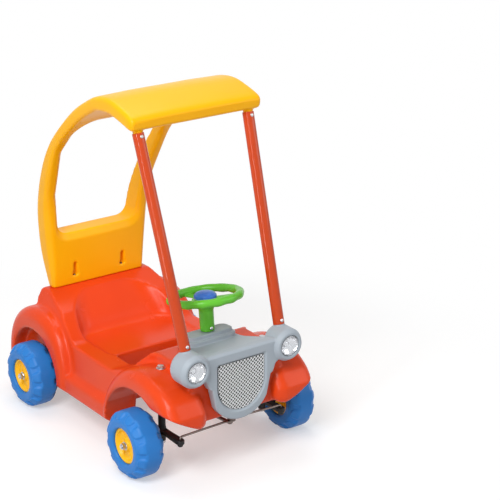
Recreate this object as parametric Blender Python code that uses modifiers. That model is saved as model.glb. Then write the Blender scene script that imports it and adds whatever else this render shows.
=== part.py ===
"""Toddler ride-on car with a moulded canopy, metres, +Z up, standing on z = 0.

The front of the car faces -Y and its right side faces -X. The frame's origin is
the middle of the car's length and width, on the ground.
"""

from math import atan2, cos, pi, radians, sin, sqrt, tan

import bmesh
import bpy
from mathutils import Matrix, Vector

# Wheels and axles
WHEEL_R = 0.090
TYRE_WIDTH = 0.081
HUB_R = 0.0475
HALF_TRACK = 0.2422
WHEELBASE = 0.532
AXLE_R = 0.005
AXLE_END = 0.044
HUB_OUTER = 0.030
HUB_INNER = 0.0402
TYRE_STEPS = 28
WASHER_R = 0.010
WASHER_T = 0.002
NUT_R = 0.009
NUT_T = 0.008

# Clearances
GAP = 0.0003
RUNNING_GAP = 0.0004
TRIM = 0.0006

# Screws and bushes
SCREW_R = 0.0023
SCREW_HEAD_R = 0.0045
SCREW_HEAD_T = 0.0025
SCREW_BITE = 0.024
POST_SCREW_LENGTH = 0.012
STEERING_SCREW_LENGTH = 0.022
STEERING_SCREW_RISE = 0.244
CANOPY_SCREW_X = 0.0773
CANOPY_SCREW_Y = 0.0350
BUSH_R = 0.009
BUSH_LENGTH = 0.028
COLUMN_BUSH_R = 0.008
COLUMN_BUSH_FLANGE_R = 0.012
COLUMN_BUSH_LENGTH = 0.020

# Car body, heights are above the axles
NOSE_REACH = 0.148
TAIL_REACH = 0.170
BELLY = -0.032
DECK = 0.2217
SEAT = 0.118
DOOR_RIM = 0.124
HOOD = 0.206
FRONT_BELLY = 0.054
DECK_HALF = 0.166
DOOR_HALF = HALF_TRACK - 0.0392
SILL_HALF = HALF_TRACK - 0.0202
HOOD_HALF = 0.143
HOOD_BACK = 0.062
NOSE_FACE = -0.106
FENDER_HALF = HALF_TRACK - 0.0122
FENDER_INNER = HALF_TRACK - 0.1342
REAR_FENDER_INNER = HALF_TRACK - 0.1222
FENDER_ROUND = 0.026
FRONT_FENDER_R = 0.190
FOOT_HOLE_FRONT = 0.103
FOOT_HOLE_HALF = 0.130
FOOT_HOLE_LENGTH = 0.168
SEAT_HALF = 0.150
SHOULDER_HALF = 0.188
KNEE = 0.187
DECK_FRONT = 0.022
DECK_BACK = 0.064
SILL_LOW = -0.010
CHAMFER_IN = 0.030
REAR_FENDER_SHIFT = 0.008
REAR_FENDER_HEIGHT = 0.180
NOSE_LOW = 0.060
NOSE_KNEE = HALF_TRACK - 0.1052
NOSE_LIP_SLOPE = 0.55
FRONT_ARCH = (0.026, -0.020, 0.150)
FRONT_ARCH_INNER = HALF_TRACK - 0.0972
REAR_ARCH = (0.014, 0.002, 0.120)
REAR_ARCH_INNER = HALF_TRACK - 0.0542
OUTSIDE = 0.26

# Front steering
KINGPIN_X = HALF_TRACK - 0.0822
KINGPIN_R = 0.005
ARM_LENGTH = 0.084
ARM_T = 0.012
ARM_TOP = 0.018
ROD_R = 0.003
ROD_PIN_R = 0.003
KNUCKLE_R = 0.010
KNUCKLE_FOOT = -0.016
KINGPIN_SEAT = 0.186
KINGPIN_WASHER_T = 0.0016
THRUST_SEAT = 0.115
BOSS_R = 0.014
EYE_T = 0.004
EYE_R = 0.0105
COLUMN_R = 0.005
CRANK_Z = 0.010
STEERING_WHEEL_Y = 0.030
STEERING_WHEEL_Z = 0.3350
STEERING_WHEEL_RAKE = 5.5
STEERING_WHEEL_R = 0.1025
RIM_R = 0.012
SLEEVE_R = 0.0195
HORN_R = 0.030
HORN_WALL = 0.003
HORN_TRAVEL = 0.003

# Canopy and posts
CANOPY_HALF = 0.148
ROOF_HALF = 0.197
CANOPY_BACK = 0.028
WINDOW_LOW = 0.376
WINDOW_TOP = 0.748
ARM_WIDTH = 0.034
SLOT_LOW = 0.246
SLOT_HEIGHT = 0.042
SLOT_FOOT = 0.0082
SLOT_TIP = 0.0040
PANEL_T = 0.030
CROWN = 0.0025
POST_R = 0.0150
POST_WALL = 0.0015
POST_SCREW_SET = 0.010
PEG_LENGTH = 0.040
PEG_R = POST_R - POST_WALL - GAP
POST_FOOT = (0.1464, -0.0916, 0.2622)
POST_HEAD = (0.1666, 0.0713, 0.7907)

# Fascia
FASCIA_FRONT = -0.132
FASCIA_T = 0.025
FASCIA_LOW = 0.051
FASCIA_TOP = 0.245
FASCIA_HALF = 0.108
SHIELD_HALF = 0.104
SHIELD_ROUND_Z = 0.143
DASH_HALF = 0.076
DASH_LOW = 0.205
DASH_STEP = 0.222
DASH_TOP = 0.2335
HEADLIGHT_X = 0.1447
HEADLIGHT_Z = 0.219
POD_R = 0.044
POD_FRONT = -0.144
POD_BACK = -0.080
POD_STEPS = 22
LENS_R = 0.028
LAMP_STEPS = 24
GRILLE_HALF = 0.072
GRILLE_TOP = 0.213
GRILLE_ROUND_Z = 0.152
GRILLE_DEPTH = 0.006

AXLE_Z = WHEEL_R
FRONT_AXLE_Y = NOSE_REACH - (WHEELBASE + NOSE_REACH + TAIL_REACH) / 2
REAR_AXLE_Y = FRONT_AXLE_Y + WHEELBASE
SIDES = (("right", -1), ("left", 1))


def front(dy):
    """A Y place measured from the front axle."""
    return FRONT_AXLE_Y + dy


def rear(dy):
    """A Y place measured from the rear axle."""
    return REAR_AXLE_Y + dy


def up(dz):
    """A Z place measured from the axles."""
    return AXLE_Z + dz


def clear_scene():
    for thing in list(bpy.data.objects):
        bpy.data.objects.remove(thing, do_unlink=True)


def new_collection(name):
    group = bpy.data.collections.new(name)
    bpy.context.scene.collection.children.link(group)
    return group


clear_scene()
PARTS = new_collection("toddler_ride_on_car")
CUTTERS = new_collection("cutters")


def finish(name, colour, roughness, metallic=0.0, alpha=1.0):
    """A material with one plain finish."""
    made = bpy.data.materials.new(name)
    made.use_nodes = True
    shader = made.node_tree.nodes["Principled BSDF"]
    shader.inputs["Base Color"].default_value = (*colour, 1.0)
    shader.inputs["Roughness"].default_value = roughness
    shader.inputs["Metallic"].default_value = metallic
    shader.inputs["Alpha"].default_value = alpha
    return made


ORANGE_PLASTIC = finish("orange_plastic", (0.88, 0.11, 0.012), 0.38)
YELLOW_PLASTIC = finish("yellow_plastic", (1.0, 0.52, 0.012), 0.36)
BLUE_PLASTIC = finish("blue_plastic", (0.045, 0.20, 0.62), 0.42)
GREY_PLASTIC = finish("grey_plastic", (0.34, 0.37, 0.40), 0.45)
GREEN_PLASTIC = finish("green_plastic", (0.13, 0.55, 0.04), 0.30)
BLACK_PLASTIC = finish("black_plastic", (0.015, 0.015, 0.017), 0.5)
ORANGE_PAINT = finish("orange_paint", (0.80, 0.12, 0.015), 0.25)
STEEL = finish("zinc_steel", (0.62, 0.62, 0.64), 0.28, 1.0)
CHROME = finish("chrome", (0.85, 0.85, 0.86), 0.08, 1.0)
CLEAR = finish("clear_lens", (0.95, 0.97, 1.0), 0.05, 0.0, 0.35)
MESH_WHITE = finish("grille_white", (0.85, 0.85, 0.85), 0.5)


def add_object(name, mesh, collection=PARTS, material=None, matrix=None):
    made = bpy.data.objects.new(name, mesh)
    collection.objects.link(made)
    if matrix is not None:
        made.matrix_world = matrix
    if material is not None:
        mesh.materials.clear()
        mesh.materials.append(material)
    if collection == CUTTERS:
        made.hide_render = True
        made.display_type = "WIRE"
    return made


def shade(thing, degrees=35.0):
    thing.data.shade_smooth()
    thing.data.set_sharp_from_angle(angle=radians(degrees))


def mesh_from(bm, name):
    bmesh.ops.recalc_face_normals(bm, faces=bm.faces)
    mesh = bpy.data.meshes.new(name)
    bm.to_mesh(mesh)
    bm.free()
    return mesh


def fillet(corners, steps=4):
    """An outline whose corners, each (a, b, radius), become arcs."""
    points = []
    count = len(corners)
    for i, (a, b, radius) in enumerate(corners):
        here = Vector((a, b))
        before = Vector(corners[i - 1][:2]) - here
        after = Vector(corners[(i + 1) % count][:2]) - here
        half_angle = before.angle(after) / 2
        reach = min(before.length, after.length) * 0.49 if radius else 0.0
        radius = min(radius, reach * tan(half_angle))
        if radius < 1e-5:
            points.append(here)
            continue
        before.normalize()
        after.normalize()
        middle = here + (before + after).normalized() * (radius / sin(half_angle))
        start = here + before * (radius / tan(half_angle)) - middle
        end = here + after * (radius / tan(half_angle)) - middle
        sweep = start.angle_signed(end)
        for k in range(steps + 1):
            turn = Matrix.Rotation(-sweep * k / steps, 2)
            points.append(middle + turn @ start)
    return points


def arc(a, b, radius, start, end, steps):
    """Points of an arc about (a, b), angles in degrees."""
    turns = [radians(start + (end - start) * k / steps) for k in range(steps + 1)]
    return [Vector((a + radius * cos(t), b + radius * sin(t))) for t in turns]


def oval(a, b, half_a, half_b, power, start, end, steps):
    """Points of a full-shouldered oval about (a, b), angles in degrees."""
    points = []
    for k in range(steps + 1):
        turn = radians(start + (end - start) * k / steps)
        x, y = cos(turn), sin(turn)
        reach = (abs(x) ** power + abs(y) ** power) ** (-1 / power)
        points.append(Vector((a + half_a * x * reach, b + half_b * y * reach)))
    return points


SIDE_VIEW = Matrix(((0, 0, 1, 0), (1, 0, 0, 0), (0, 1, 0, 0), (0, 0, 0, 1)))
FRONT_VIEW = Matrix(((1, 0, 0, 0), (0, 0, -1, 0), (0, 1, 0, 0), (0, 0, 0, 1)))
PLAN_VIEW = Matrix.Identity(4)


def slab(name, outline, view, low, high, rounding=0.0, collection=CUTTERS, material=None,
         frame=None):
    """A flat outline given thickness from low to high, with its rims rounded over."""
    curve = bpy.data.curves.new(name, "CURVE")
    curve.dimensions = "2D"
    curve.fill_mode = "BOTH"
    spline = curve.splines.new("POLY")
    spline.points.add(len(outline) - 1)
    for point, place in zip(spline.points, outline):
        point.co = (place[0], place[1], 0.0, 1.0)
    spline.use_cyclic_u = True
    curve.extrude = abs(high - low) / 2 - rounding
    curve.bevel_depth = rounding
    curve.bevel_resolution = 1
    curve.offset = -rounding
    shift = Matrix.Translation((0, 0, (low + high) / 2 if view is not FRONT_VIEW else -(low + high) / 2))
    matrix = view @ shift
    if frame is not None:
        matrix = frame @ matrix
    return curve_to_mesh(name, curve, matrix, collection, material)


def curve_to_mesh(name, curve, matrix, collection=PARTS, material=None):
    """The closed mesh of a curve object, with its caps welded."""
    holder = bpy.data.objects.new(name + "_curve", curve)
    bpy.context.scene.collection.objects.link(holder)
    evaluated = holder.evaluated_get(bpy.context.evaluated_depsgraph_get())
    mesh = bpy.data.meshes.new_from_object(evaluated)
    bpy.data.objects.remove(holder, do_unlink=True)
    bm = bmesh.new()
    bm.from_mesh(mesh)
    bmesh.ops.remove_doubles(bm, verts=bm.verts, dist=0.00001)
    bmesh.ops.recalc_face_normals(bm, faces=bm.faces)
    bm.to_mesh(mesh)
    bm.free()
    mesh.name = name
    made = add_object(name, mesh, collection, material, matrix)
    shade(made)
    return made


def rod(name, points, radius, matrix=None, collection=PARTS, material=STEEL, resolution=3):
    """A round bar along a list of points."""
    curve = bpy.data.curves.new(name, "CURVE")
    curve.dimensions = "3D"
    curve.bevel_depth = radius
    curve.bevel_resolution = resolution
    curve.use_fill_caps = True
    spline = curve.splines.new("POLY")
    spline.points.add(len(points) - 1)
    for point, place in zip(spline.points, points):
        point.co = (*place, 1.0)
    return curve_to_mesh(name, curve, matrix or Matrix.Identity(4), collection, material)


def along(point, direction):
    """A frame at a point whose Z runs along a direction."""
    turn = Vector(direction).to_track_quat("Z", "Y").to_matrix().to_4x4()
    return Matrix.Translation(point) @ turn


def turned(name, profile, frame, steps=32, collection=PARTS, material=None):
    """A closed (radius, height) profile, down its outer side first, spun about Z."""
    bm = bmesh.new()
    rim = [bm.verts.new((r, 0.0, h)) for r, h in profile]
    pairs = list(zip(rim, rim[1:]))
    if profile[0][0] > 0.0:
        pairs.append((rim[-1], rim[0]))
    for one, two in pairs:
        bm.edges.new((one, two))
    mesh = bpy.data.meshes.new(name)
    bm.to_mesh(mesh)
    bm.free()
    made = add_object(name, mesh, collection, material, frame)
    screw = made.modifiers.new("turn", "SCREW")
    screw.axis = "Z"
    screw.steps = steps
    screw.render_steps = steps
    screw.use_merge_vertices = True
    screw.merge_threshold = 0.00001
    return settle(made)


def settle(thing):
    """The object with its modifiers worked into its mesh."""
    evaluated = thing.evaluated_get(bpy.context.evaluated_depsgraph_get())
    mesh = bpy.data.meshes.new_from_object(evaluated)
    thing.modifiers.clear()
    old = thing.data
    thing.data = mesh
    mesh.name = thing.name
    bpy.data.meshes.remove(old)
    bm = bmesh.new()
    bm.from_mesh(mesh)
    bmesh.ops.remove_doubles(bm, verts=bm.verts, dist=0.000002)
    bmesh.ops.dissolve_degenerate(bm, edges=bm.edges, dist=0.000002)
    bmesh.ops.recalc_face_normals(bm, faces=bm.faces)
    bm.to_mesh(mesh)
    bm.free()
    shade(thing)
    return thing


def pin(name, radius, start, end, collection=PARTS, material=STEEL, steps=20, top_radius=None):
    """A plain cylinder between two points."""
    start = Vector(start)
    end = Vector(end)
    length = (end - start).length
    bm = bmesh.new()
    bmesh.ops.create_cone(bm, cap_ends=True, segments=steps, radius1=radius,
                          radius2=top_radius or radius, depth=length)
    bmesh.ops.translate(bm, verts=bm.verts, vec=(0, 0, length / 2))
    made = add_object(name, mesh_from(bm, name), collection, material, along(start, end - start))
    shade(made)
    return made


def combine(thing, others, operation):
    """A Boolean of an object with a list of cutters, worked into its mesh."""
    for other in others:
        step = thing.modifiers.new(operation.lower(), "BOOLEAN")
        step.operation = operation
        step.object = other
    settle(thing)
    for other in others:
        bpy.data.objects.remove(other, do_unlink=True)
    return thing


def join(thing, *others):
    return combine(thing, others, "UNION")


def cut(thing, *others):
    return combine(thing, others, "DIFFERENCE")


def common(thing, *others):
    return combine(thing, others, "INTERSECT")


def on_side(thing, side):
    """The left piece as it is, or its mirror image for the right side."""
    if side < 0:
        thing.data.transform(Matrix.Scale(-1.0, 4, (1, 0, 0)) @ thing.matrix_world)
        thing.data.flip_normals()
        thing.matrix_world = Matrix.Identity(4)
    return thing


def loft(name, sections, collection=PARTS, material=None):
    """A closed skin through rings of points that all have the same count."""
    bm = bmesh.new()
    rings = [[bm.verts.new(point) for point in ring] for ring in sections]
    count = len(rings[0])
    for one, two in zip(rings, rings[1:]):
        for k in range(count):
            after = (k + 1) % count
            bm.faces.new((one[k], one[after], two[after], two[k]))
    bm.faces.new(list(reversed(rings[0])))
    bm.faces.new(rings[-1])
    made = add_object(name, mesh_from(bm, name), collection, material)
    shade(made)
    return made


def empty(name, frame, parent=None):
    made = bpy.data.objects.new(name, None)
    made.empty_display_size = 0.03
    PARTS.objects.link(made)
    made.parent = parent
    made.matrix_world = frame
    return made


def ride(joint, *things):
    """Parent pieces to a joint's empty and leave them where they are."""
    bpy.context.view_layer.update()
    for thing in things:
        place = thing.matrix_world.copy()
        thing.parent = joint
        thing.matrix_parent_inverse = joint.matrix_world.inverted()
        thing.matrix_world = place


# Orange body shell

def body_side_outline():
    """The middle of the body seen from the side, nose first."""
    return fillet([
        (front(NOSE_FACE), up(FRONT_BELLY), 0.012),
        (front(NOSE_FACE), up(HOOD), 0.010),
        (front(HOOD_BACK), up(HOOD), 0.020),
        (front(0.108), up(0.152), 0.030),
        (front(0.190), up(DOOR_RIM - 0.003), 0.060),
        (rear(-0.152), up(DOOR_RIM), 0.040),
        (rear(-0.067), up(KNEE), 0.012),
        (rear(DECK_FRONT), up(DECK), 0.020),
        (rear(DECK_BACK), up(DECK), 0.010),
        (rear(DECK_BACK + 0.006), up(0.192), 0.010),
        (rear(0.110), up(0.166), 0.030),
        (rear(0.158), up(0.085), 0.040),
        (rear(0.164), up(0.015), 0.020),
        (rear(0.040), up(BELLY), 0.040),
        (front(0.176), up(BELLY), 0.012),
        (front(0.160), up(FRONT_BELLY), 0.010),
    ], steps=3)


def body_front_outline():
    """The body's section across the doors: sill, step and walls drawn in to the deck."""
    half = [
        (SILL_HALF - CHAMFER_IN, up(BELLY), 0.020),
        (SILL_HALF, up(SILL_LOW), 0.0),
        (SILL_HALF, up(0.030), 0.014),
        (DOOR_HALF, up(0.046), 0.012),
        (DOOR_HALF - 0.006, up(DOOR_RIM - 0.010), 0.015),
        (SHOULDER_HALF, up(0.170), 0.030),
        (DECK_HALF, up(DECK), 0.014),
        (DECK_HALF - 0.020, up(DECK + 0.006), 0.0),
        (DECK_HALF - 0.020, up(0.300), 0.0),
    ]
    mirrored = [(-a, b, r) for a, b, r in reversed(half)]
    return fillet(half + mirrored, steps=3)


def rounded_ring(half, y_front, y_back, z, radius, steps=3):
    """A rounded rectangle at one height, as a ring of points."""
    corners = [(-half, y_front, radius), (half, y_front, radius),
               (half, y_back, radius), (-half, y_back, radius)]
    return [(p.x, p.y, z) for p in fillet(corners, steps)]


def seat_hollow():
    """The space above the seat: half width, front, back and corner radius by height."""
    stations = (
        (0.000, -0.012, -0.020, -0.104, 0.040),
        (0.008, 0.000, -0.026, -0.088, 0.055),
        (0.034, 0.004, -0.032, -0.066, 0.070),
        (0.070, 0.004, -0.036, -0.030, 0.090),
        (0.100, 0.000, -0.040, 0.006, 0.100),
        (0.140, 0.000, -0.044, 0.030, 0.104),
    )
    foot = front(FOOT_HOLE_LENGTH + 0.103)
    rings = [rounded_ring(SEAT_HALF + grow, foot + low, rear(high), up(SEAT + rise), radius)
             for rise, grow, low, high, radius in stations]
    return loft("seat_hollow", rings, CUTTERS)


def front_fender(side):
    """A hump over a front wheel, rounded off to the nose."""
    hump = arc(front(0.004), up(-0.005), FRONT_FENDER_R, -24, 132, 11)
    nose = fillet([(front(-NOSE_REACH), up(0.104), 0.0), (front(-NOSE_REACH), up(0.056), 0.030),
                   (front(-0.090), up(0.052), 0.0), (front(0.0), up(-0.080), 0.0),
                   (front(0.120), up(-0.110), 0.0)])
    fender = slab("front_fender", hump + nose, SIDE_VIEW, FENDER_INNER, FENDER_HALF, FENDER_ROUND)
    cut(fender, nose_bevel(), sill_chamfer())
    return on_side(fender, side)


def nose_bevel():
    """Space under the slanted lower lip of the left front fender, which rises outwards over the tyre."""
    outer = OUTSIDE + 0.010
    line = [(FENDER_INNER - 0.010, up(NOSE_LOW)), (NOSE_KNEE, up(NOSE_LOW)), (outer, up(nose_lip(outer))),
            (outer, up(-0.20)), (FENDER_INNER - 0.010, up(-0.20))]
    return slab("nose_bevel", line, FRONT_VIEW, front(-0.20), front(0.010))


def nose_lip(x):
    """Height of the front fender's lower lip at a distance from the middle."""
    return NOSE_LOW + (x - NOSE_KNEE) * NOSE_LIP_SLOPE


def rear_fender(side):
    """A hump over a rear wheel with a straight front leg down to the sill."""
    length = TAIL_REACH - REAR_FENDER_SHIFT
    hump = oval(rear(REAR_FENDER_SHIFT), up(0.0), length, REAR_FENDER_HEIGHT, 2.25, -24, 180, 17)
    heel = rear(REAR_FENDER_SHIFT) - length
    foot = [(heel, up(-0.080)), (rear(0.110), up(-0.090))]
    fender = slab("rear_fender", hump + foot, SIDE_VIEW, REAR_FENDER_INNER, FENDER_HALF, FENDER_ROUND)
    cut(fender, sill_chamfer())
    return on_side(fender, side)


def underside_trim():
    """All that lies below the body's lower edges."""
    line = [(front(-0.30), up(-0.20)), (front(-0.30), up(FRONT_BELLY - 0.001)),
            (front(0.160), up(FRONT_BELLY - 0.001)), (front(0.176), up(BELLY - 0.0005)),
            (rear(0.070), up(BELLY - 0.0005)), (rear(0.126), up(0.004)), (rear(0.30), up(0.018)),
            (rear(0.30), up(-0.20))]
    return slab("underside_trim", line, SIDE_VIEW, -0.30, 0.30)


def sill_chamfer():
    """Space outside the slanted lower edge of the left sill and the fenders' legs."""
    slope = (SILL_LOW - BELLY) / CHAMFER_IN
    high = SILL_HALF - TRIM + 0.020
    low = SILL_HALF - TRIM - CHAMFER_IN - 0.020
    outer = OUTSIDE + 0.010
    line = [(low, up(BELLY - 0.020 * slope)), (high, up(SILL_LOW + 0.020 * slope)),
            (outer, up(SILL_LOW + 0.020 * slope)), (outer, up(-0.070)), (low, up(-0.070))]
    return slab("sill_chamfer", line, FRONT_VIEW, front(-0.20), rear(0.20))


def column_frame():
    """The steering column's foot on the front axle line, with Z up the tilted column."""
    tilt = atan2(STEERING_WHEEL_Y, STEERING_WHEEL_Z - CRANK_Z)
    return Matrix.Translation((0, front(0.0), up(CRANK_Z))) @ Matrix.Rotation(-tilt, 4, "X")


COLUMN = column_frame()
COLUMN_LENGTH = sqrt(STEERING_WHEEL_Y ** 2 + (STEERING_WHEEL_Z - CRANK_Z) ** 2)
PIN_PLACE = COLUMN @ Vector((0, -ARM_LENGTH, 0.0))
PIN_Y = PIN_PLACE.y
PIN_Z = PIN_PLACE.z + 0.0075


def hood_side(side):
    """Space beside the hood, which stands narrower than the doors and flares out to meet them."""
    outer = side * (OUTSIDE + 0.010)
    flare = fillet([(side * HOOD_HALF, front(-0.25), 0.0), (side * HOOD_HALF, front(0.050), 0.030),
                    (side * (DOOR_HALF + 0.006), front(0.128), 0.0), (outer, front(0.128), 0.0),
                    (outer, front(-0.25), 0.0)], steps=4)
    return slab("hood_side", flare, PLAN_VIEW, up(0.130), up(0.30))


def nose_corner(side):
    """Space beside the narrow nose, ahead of the wheel and under the hood's sides."""
    low, high = sorted((side * HOOD_HALF, side * (OUTSIDE + 0.010)))
    plan = [(low, front(-0.25)), (high, front(-0.25)), (high, front(-0.060)), (low, front(-0.060))]
    return slab("nose_corner", plan, PLAN_VIEW, up(-0.05), up(0.135))


def body_shell():
    body = slab("body_shell", body_side_outline(), SIDE_VIEW, -OUTSIDE, OUTSIDE, 0.0, PARTS, ORANGE_PLASTIC)
    section = slab("body_section", body_front_outline(), FRONT_VIEW, front(-0.2), rear(0.2))
    tail = [(-OUTSIDE, front(-0.2)), (OUTSIDE, front(-0.2)), (OUTSIDE, rear(0.0)), (0.190, rear(0.056)),
            (0.158, rear(0.090)), (0.115, rear(0.168)), (-0.115, rear(0.168)), (-0.158, rear(0.090)),
            (-0.190, rear(0.056)), (-OUTSIDE, rear(0.0))]
    common(body, section, slab("body_plan", tail, PLAN_VIEW, 0.0, up(0.3)))
    cut(body, *[hood_side(side) for _, side in SIDES])
    cut(body, *[nose_corner(side) for _, side in SIDES])
    humps = [front_fender(side) for _, side in SIDES] + [rear_fender(side) for _, side in SIDES]
    join(body, *humps)
    cutters = [underside_trim()]
    for _, side in SIDES:
        out = side * OUTSIDE
        y, z, radius = REAR_ARCH
        cutters.append(pin("rear_arch", radius, (side * REAR_ARCH_INNER, rear(y), up(z)),
                           (out, rear(y), up(z)), CUTTERS, steps=32))
        y, z, radius = FRONT_ARCH
        cutters.append(pin("front_arch", radius, (side * FRONT_ARCH_INNER, front(y), up(z)),
                           (out, front(y), up(z)), CUTTERS, steps=32))
        cutters.append(pod(side, GAP))
    cutters.append(seat_hollow())
    hole = fillet([(-FOOT_HOLE_HALF, front(FOOT_HOLE_FRONT), 0.015),
                   (FOOT_HOLE_HALF, front(FOOT_HOLE_FRONT), 0.015),
                   (FOOT_HOLE_HALF, front(FOOT_HOLE_FRONT + FOOT_HOLE_LENGTH), 0.015),
                   (-FOOT_HOLE_HALF, front(FOOT_HOLE_FRONT + FOOT_HOLE_LENGTH), 0.015)])
    cutters.append(slab("foot_hole", hole, PLAN_VIEW, 0.0, up(0.26)))
    cut(body, *cutters)
    seats = []
    for _, side in SIDES:
        seats.append(pin("kingpin_boss", BOSS_R, (side * KINGPIN_X, front(0), up(THRUST_SEAT)),
                         (side * KINGPIN_X, front(0), up(KINGPIN_SEAT)), CUTTERS, steps=16))
    join(body, *seats)
    bores = []
    for _, side in SIDES:
        x = side * KINGPIN_X
        bores.append(pin("kingpin_bore", KINGPIN_R + GAP, (x, front(0), up(THRUST_SEAT - 0.02)),
                         (x, front(0), up(KINGPIN_SEAT + 0.02)), CUTTERS, steps=16))
        x = side * CANOPY_SCREW_X
        bores.append(pin("canopy_screw_bore", SCREW_R + GAP,
                         (x, rear(CANOPY_SCREW_Y), up(DECK - SCREW_BITE - 0.002)),
                         (x, rear(CANOPY_SCREW_Y), up(DECK + 0.01)), CUTTERS, steps=12))
    bores.append(pin("rear_axle_bore", BUSH_R + GAP, (-0.25, rear(0), up(0)), (0.25, rear(0), up(0)),
                     CUTTERS, steps=24))
    bores.append(pin("column_bore", COLUMN_BUSH_R + GAP, COLUMN @ Vector((0, 0, 0.02)),
                     COLUMN @ Vector((0, 0, 0.25)), CUTTERS, steps=24))
    return cut(body, *bores)


# Yellow canopy: backrest, bow and roof in one moulding

def canopy_stations():
    """Back and front edges of the bow from the deck to the roof's lip, with its half width."""
    base = DECK + GAP
    back = CANOPY_BACK
    return [
        (rear(back + PANEL_T), up(base), rear(back), up(base), CANOPY_HALF),
        (rear(back + 0.042), up(0.255), rear(back - 0.003), up(0.255), CANOPY_HALF + 0.003),
        (rear(back + 0.060), up(0.321), rear(back - 0.006), up(0.321), CANOPY_HALF + 0.010),
        (rear(back + 0.058), up(0.390), rear(back - 0.009), up(0.388), CANOPY_HALF + 0.016),
        (rear(back + 0.050), up(0.450), rear(back - 0.012), up(0.455), CANOPY_HALF + 0.021),
        (rear(back + 0.025), up(0.515), rear(back - 0.028), up(0.512), CANOPY_HALF + 0.027),
        (rear(0.013), up(0.593), rear(-0.028), up(0.572), ROOF_HALF - 0.015),
        (rear(-0.026), up(0.648), rear(-0.060), up(0.632), ROOF_HALF - 0.012),
        (rear(-0.068), up(0.696), rear(-0.090), up(0.675), ROOF_HALF - 0.010),
        (rear(-0.168), up(0.782), rear(-0.184), up(0.752), ROOF_HALF - 0.007),
        (rear(-0.226), up(0.816), rear(-0.238), up(0.784), ROOF_HALF - 0.005),
        (rear(-0.281), up(0.844), rear(-0.290), up(0.810), ROOF_HALF - 0.003),
        (front(0.206), up(0.857), front(0.203), up(0.818), ROOF_HALF - 0.002),
        (front(0.156), up(0.860), front(0.156), up(0.818), ROOF_HALF - 0.001),
        (front(0.101), up(0.848), front(0.103), up(0.808), ROOF_HALF),
        (front(0.062), up(0.835), front(0.066), up(0.799), ROOF_HALF),
        (front(0.050), up(0.824), front(0.054), up(0.804), ROOF_HALF - 0.006),
    ]


def canopy_ring(back_y, back_z, front_y, front_z, half):
    """A rounded rectangle across the bow, crowned a little on its outer side."""
    outer = Vector((0, back_y, back_z))
    inner = Vector((0, front_y, front_z))
    depth = (outer - inner).length
    across = (outer - inner) / depth
    radius = depth * 0.3
    crown = CROWN if half > ROOF_HALF - 0.009 else 0.0
    shape = fillet([(-half, 0.0, radius), (half, 0.0, radius), (half, depth, radius),
                    (half * 0.45, depth + crown, 0.0), (-half * 0.45, depth + crown, 0.0),
                    (-half, depth, radius)], steps=3)
    return [inner + across * p.y + Vector((p.x, 0, 0)) for p in shape]


def canopy():
    shell = loft("canopy", [canopy_ring(*place) for place in canopy_stations()], PARTS, YELLOW_PLASTIC)
    low = CANOPY_HALF + 0.016 - ARM_WIDTH
    high = ROOF_HALF - 0.010 - ARM_WIDTH
    window = fillet([(-low + 0.006, up(WINDOW_LOW), 0.034), (low - 0.006, up(WINDOW_LOW), 0.034),
                     (low + 0.008, up(0.500), 0.080), (high, up(0.640), 0.080),
                     (high - 0.004, up(WINDOW_TOP), 0.050), (-high + 0.004, up(WINDOW_TOP), 0.050),
                     (-high, up(0.640), 0.080), (-low - 0.008, up(0.500), 0.080)], steps=3)
    cutters = [slab("window", window, FRONT_VIEW, rear(-0.215), rear(0.15))]
    for _, side in SIDES:
        x = side * CANOPY_SCREW_X
        slot = [(x - SLOT_FOOT, up(SLOT_LOW)), (x + SLOT_FOOT, up(SLOT_LOW)),
                (x + SLOT_TIP, up(SLOT_LOW + SLOT_HEIGHT)), (x - SLOT_TIP, up(SLOT_LOW + SLOT_HEIGHT))]
        cutters.append(slab("slot", slot, FRONT_VIEW, rear(0.0), rear(CANOPY_SCREW_Y + 0.005)))
        cutters.append(pin("canopy_screw_hole", SCREW_R + GAP, (x, rear(CANOPY_SCREW_Y), up(DECK - 0.01)),
                           (x, rear(CANOPY_SCREW_Y), up(SLOT_LOW + 0.01)), CUTTERS, steps=12))
    cut(shell, *cutters)
    pegs = []
    for _, side in SIDES:
        head = post_point(side, 1.0)
        pegs.append(pin("roof_peg", PEG_R, head - post_direction(side) * PEG_LENGTH,
                        head + post_direction(side) * 0.014, CUTTERS, steps=12))
    join(shell, *pegs)
    holes = [screw_hole(side, 1.0) for _, side in SIDES]
    return cut(shell, *holes)


# Posts

def post_point(side, share):
    """A point of a post's centre line, 0 at its foot and 1 at its head."""
    foot = Vector((side * POST_FOOT[0], front(POST_FOOT[1]), up(POST_FOOT[2])))
    head = Vector((side * POST_HEAD[0], front(POST_HEAD[1]), up(POST_HEAD[2])))
    return foot.lerp(head, share)


def post_direction(side):
    return (post_point(side, 1.0) - post_point(side, 0.0)).normalized()


def screw_frame(side, end):
    """Where a post's screw enters the front of the tube, its Z pointing out."""
    ahead = Vector((0, -1, 0))
    line = post_direction(side)
    out = (ahead - line * ahead.dot(line)).normalized()
    shift = POST_SCREW_SET if end == 0.0 else -POST_SCREW_SET
    return along(post_point(side, end) + line * shift + out * POST_R, out)


def screw_hole(side, end):
    place = screw_frame(side, end)
    return pin("post_screw_hole", SCREW_R + GAP, place @ Vector((0, 0, -0.014)),
               place @ Vector((0, 0, 0.004)), CUTTERS, steps=12)


def post(name, side):
    foot = post_point(side, 0.0)
    length = (post_point(side, 1.0) - foot).length - GAP * 2
    profile = [(POST_R - POST_WALL, length), (POST_R, length), (POST_R, 0.0), (POST_R - POST_WALL, 0.0)]
    tube = turned(name, profile, along(foot + post_direction(side) * GAP, post_direction(side)), 16,
                  PARTS, ORANGE_PAINT)
    return cut(tube, screw_hole(side, 0.0), screw_hole(side, 1.0))


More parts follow.
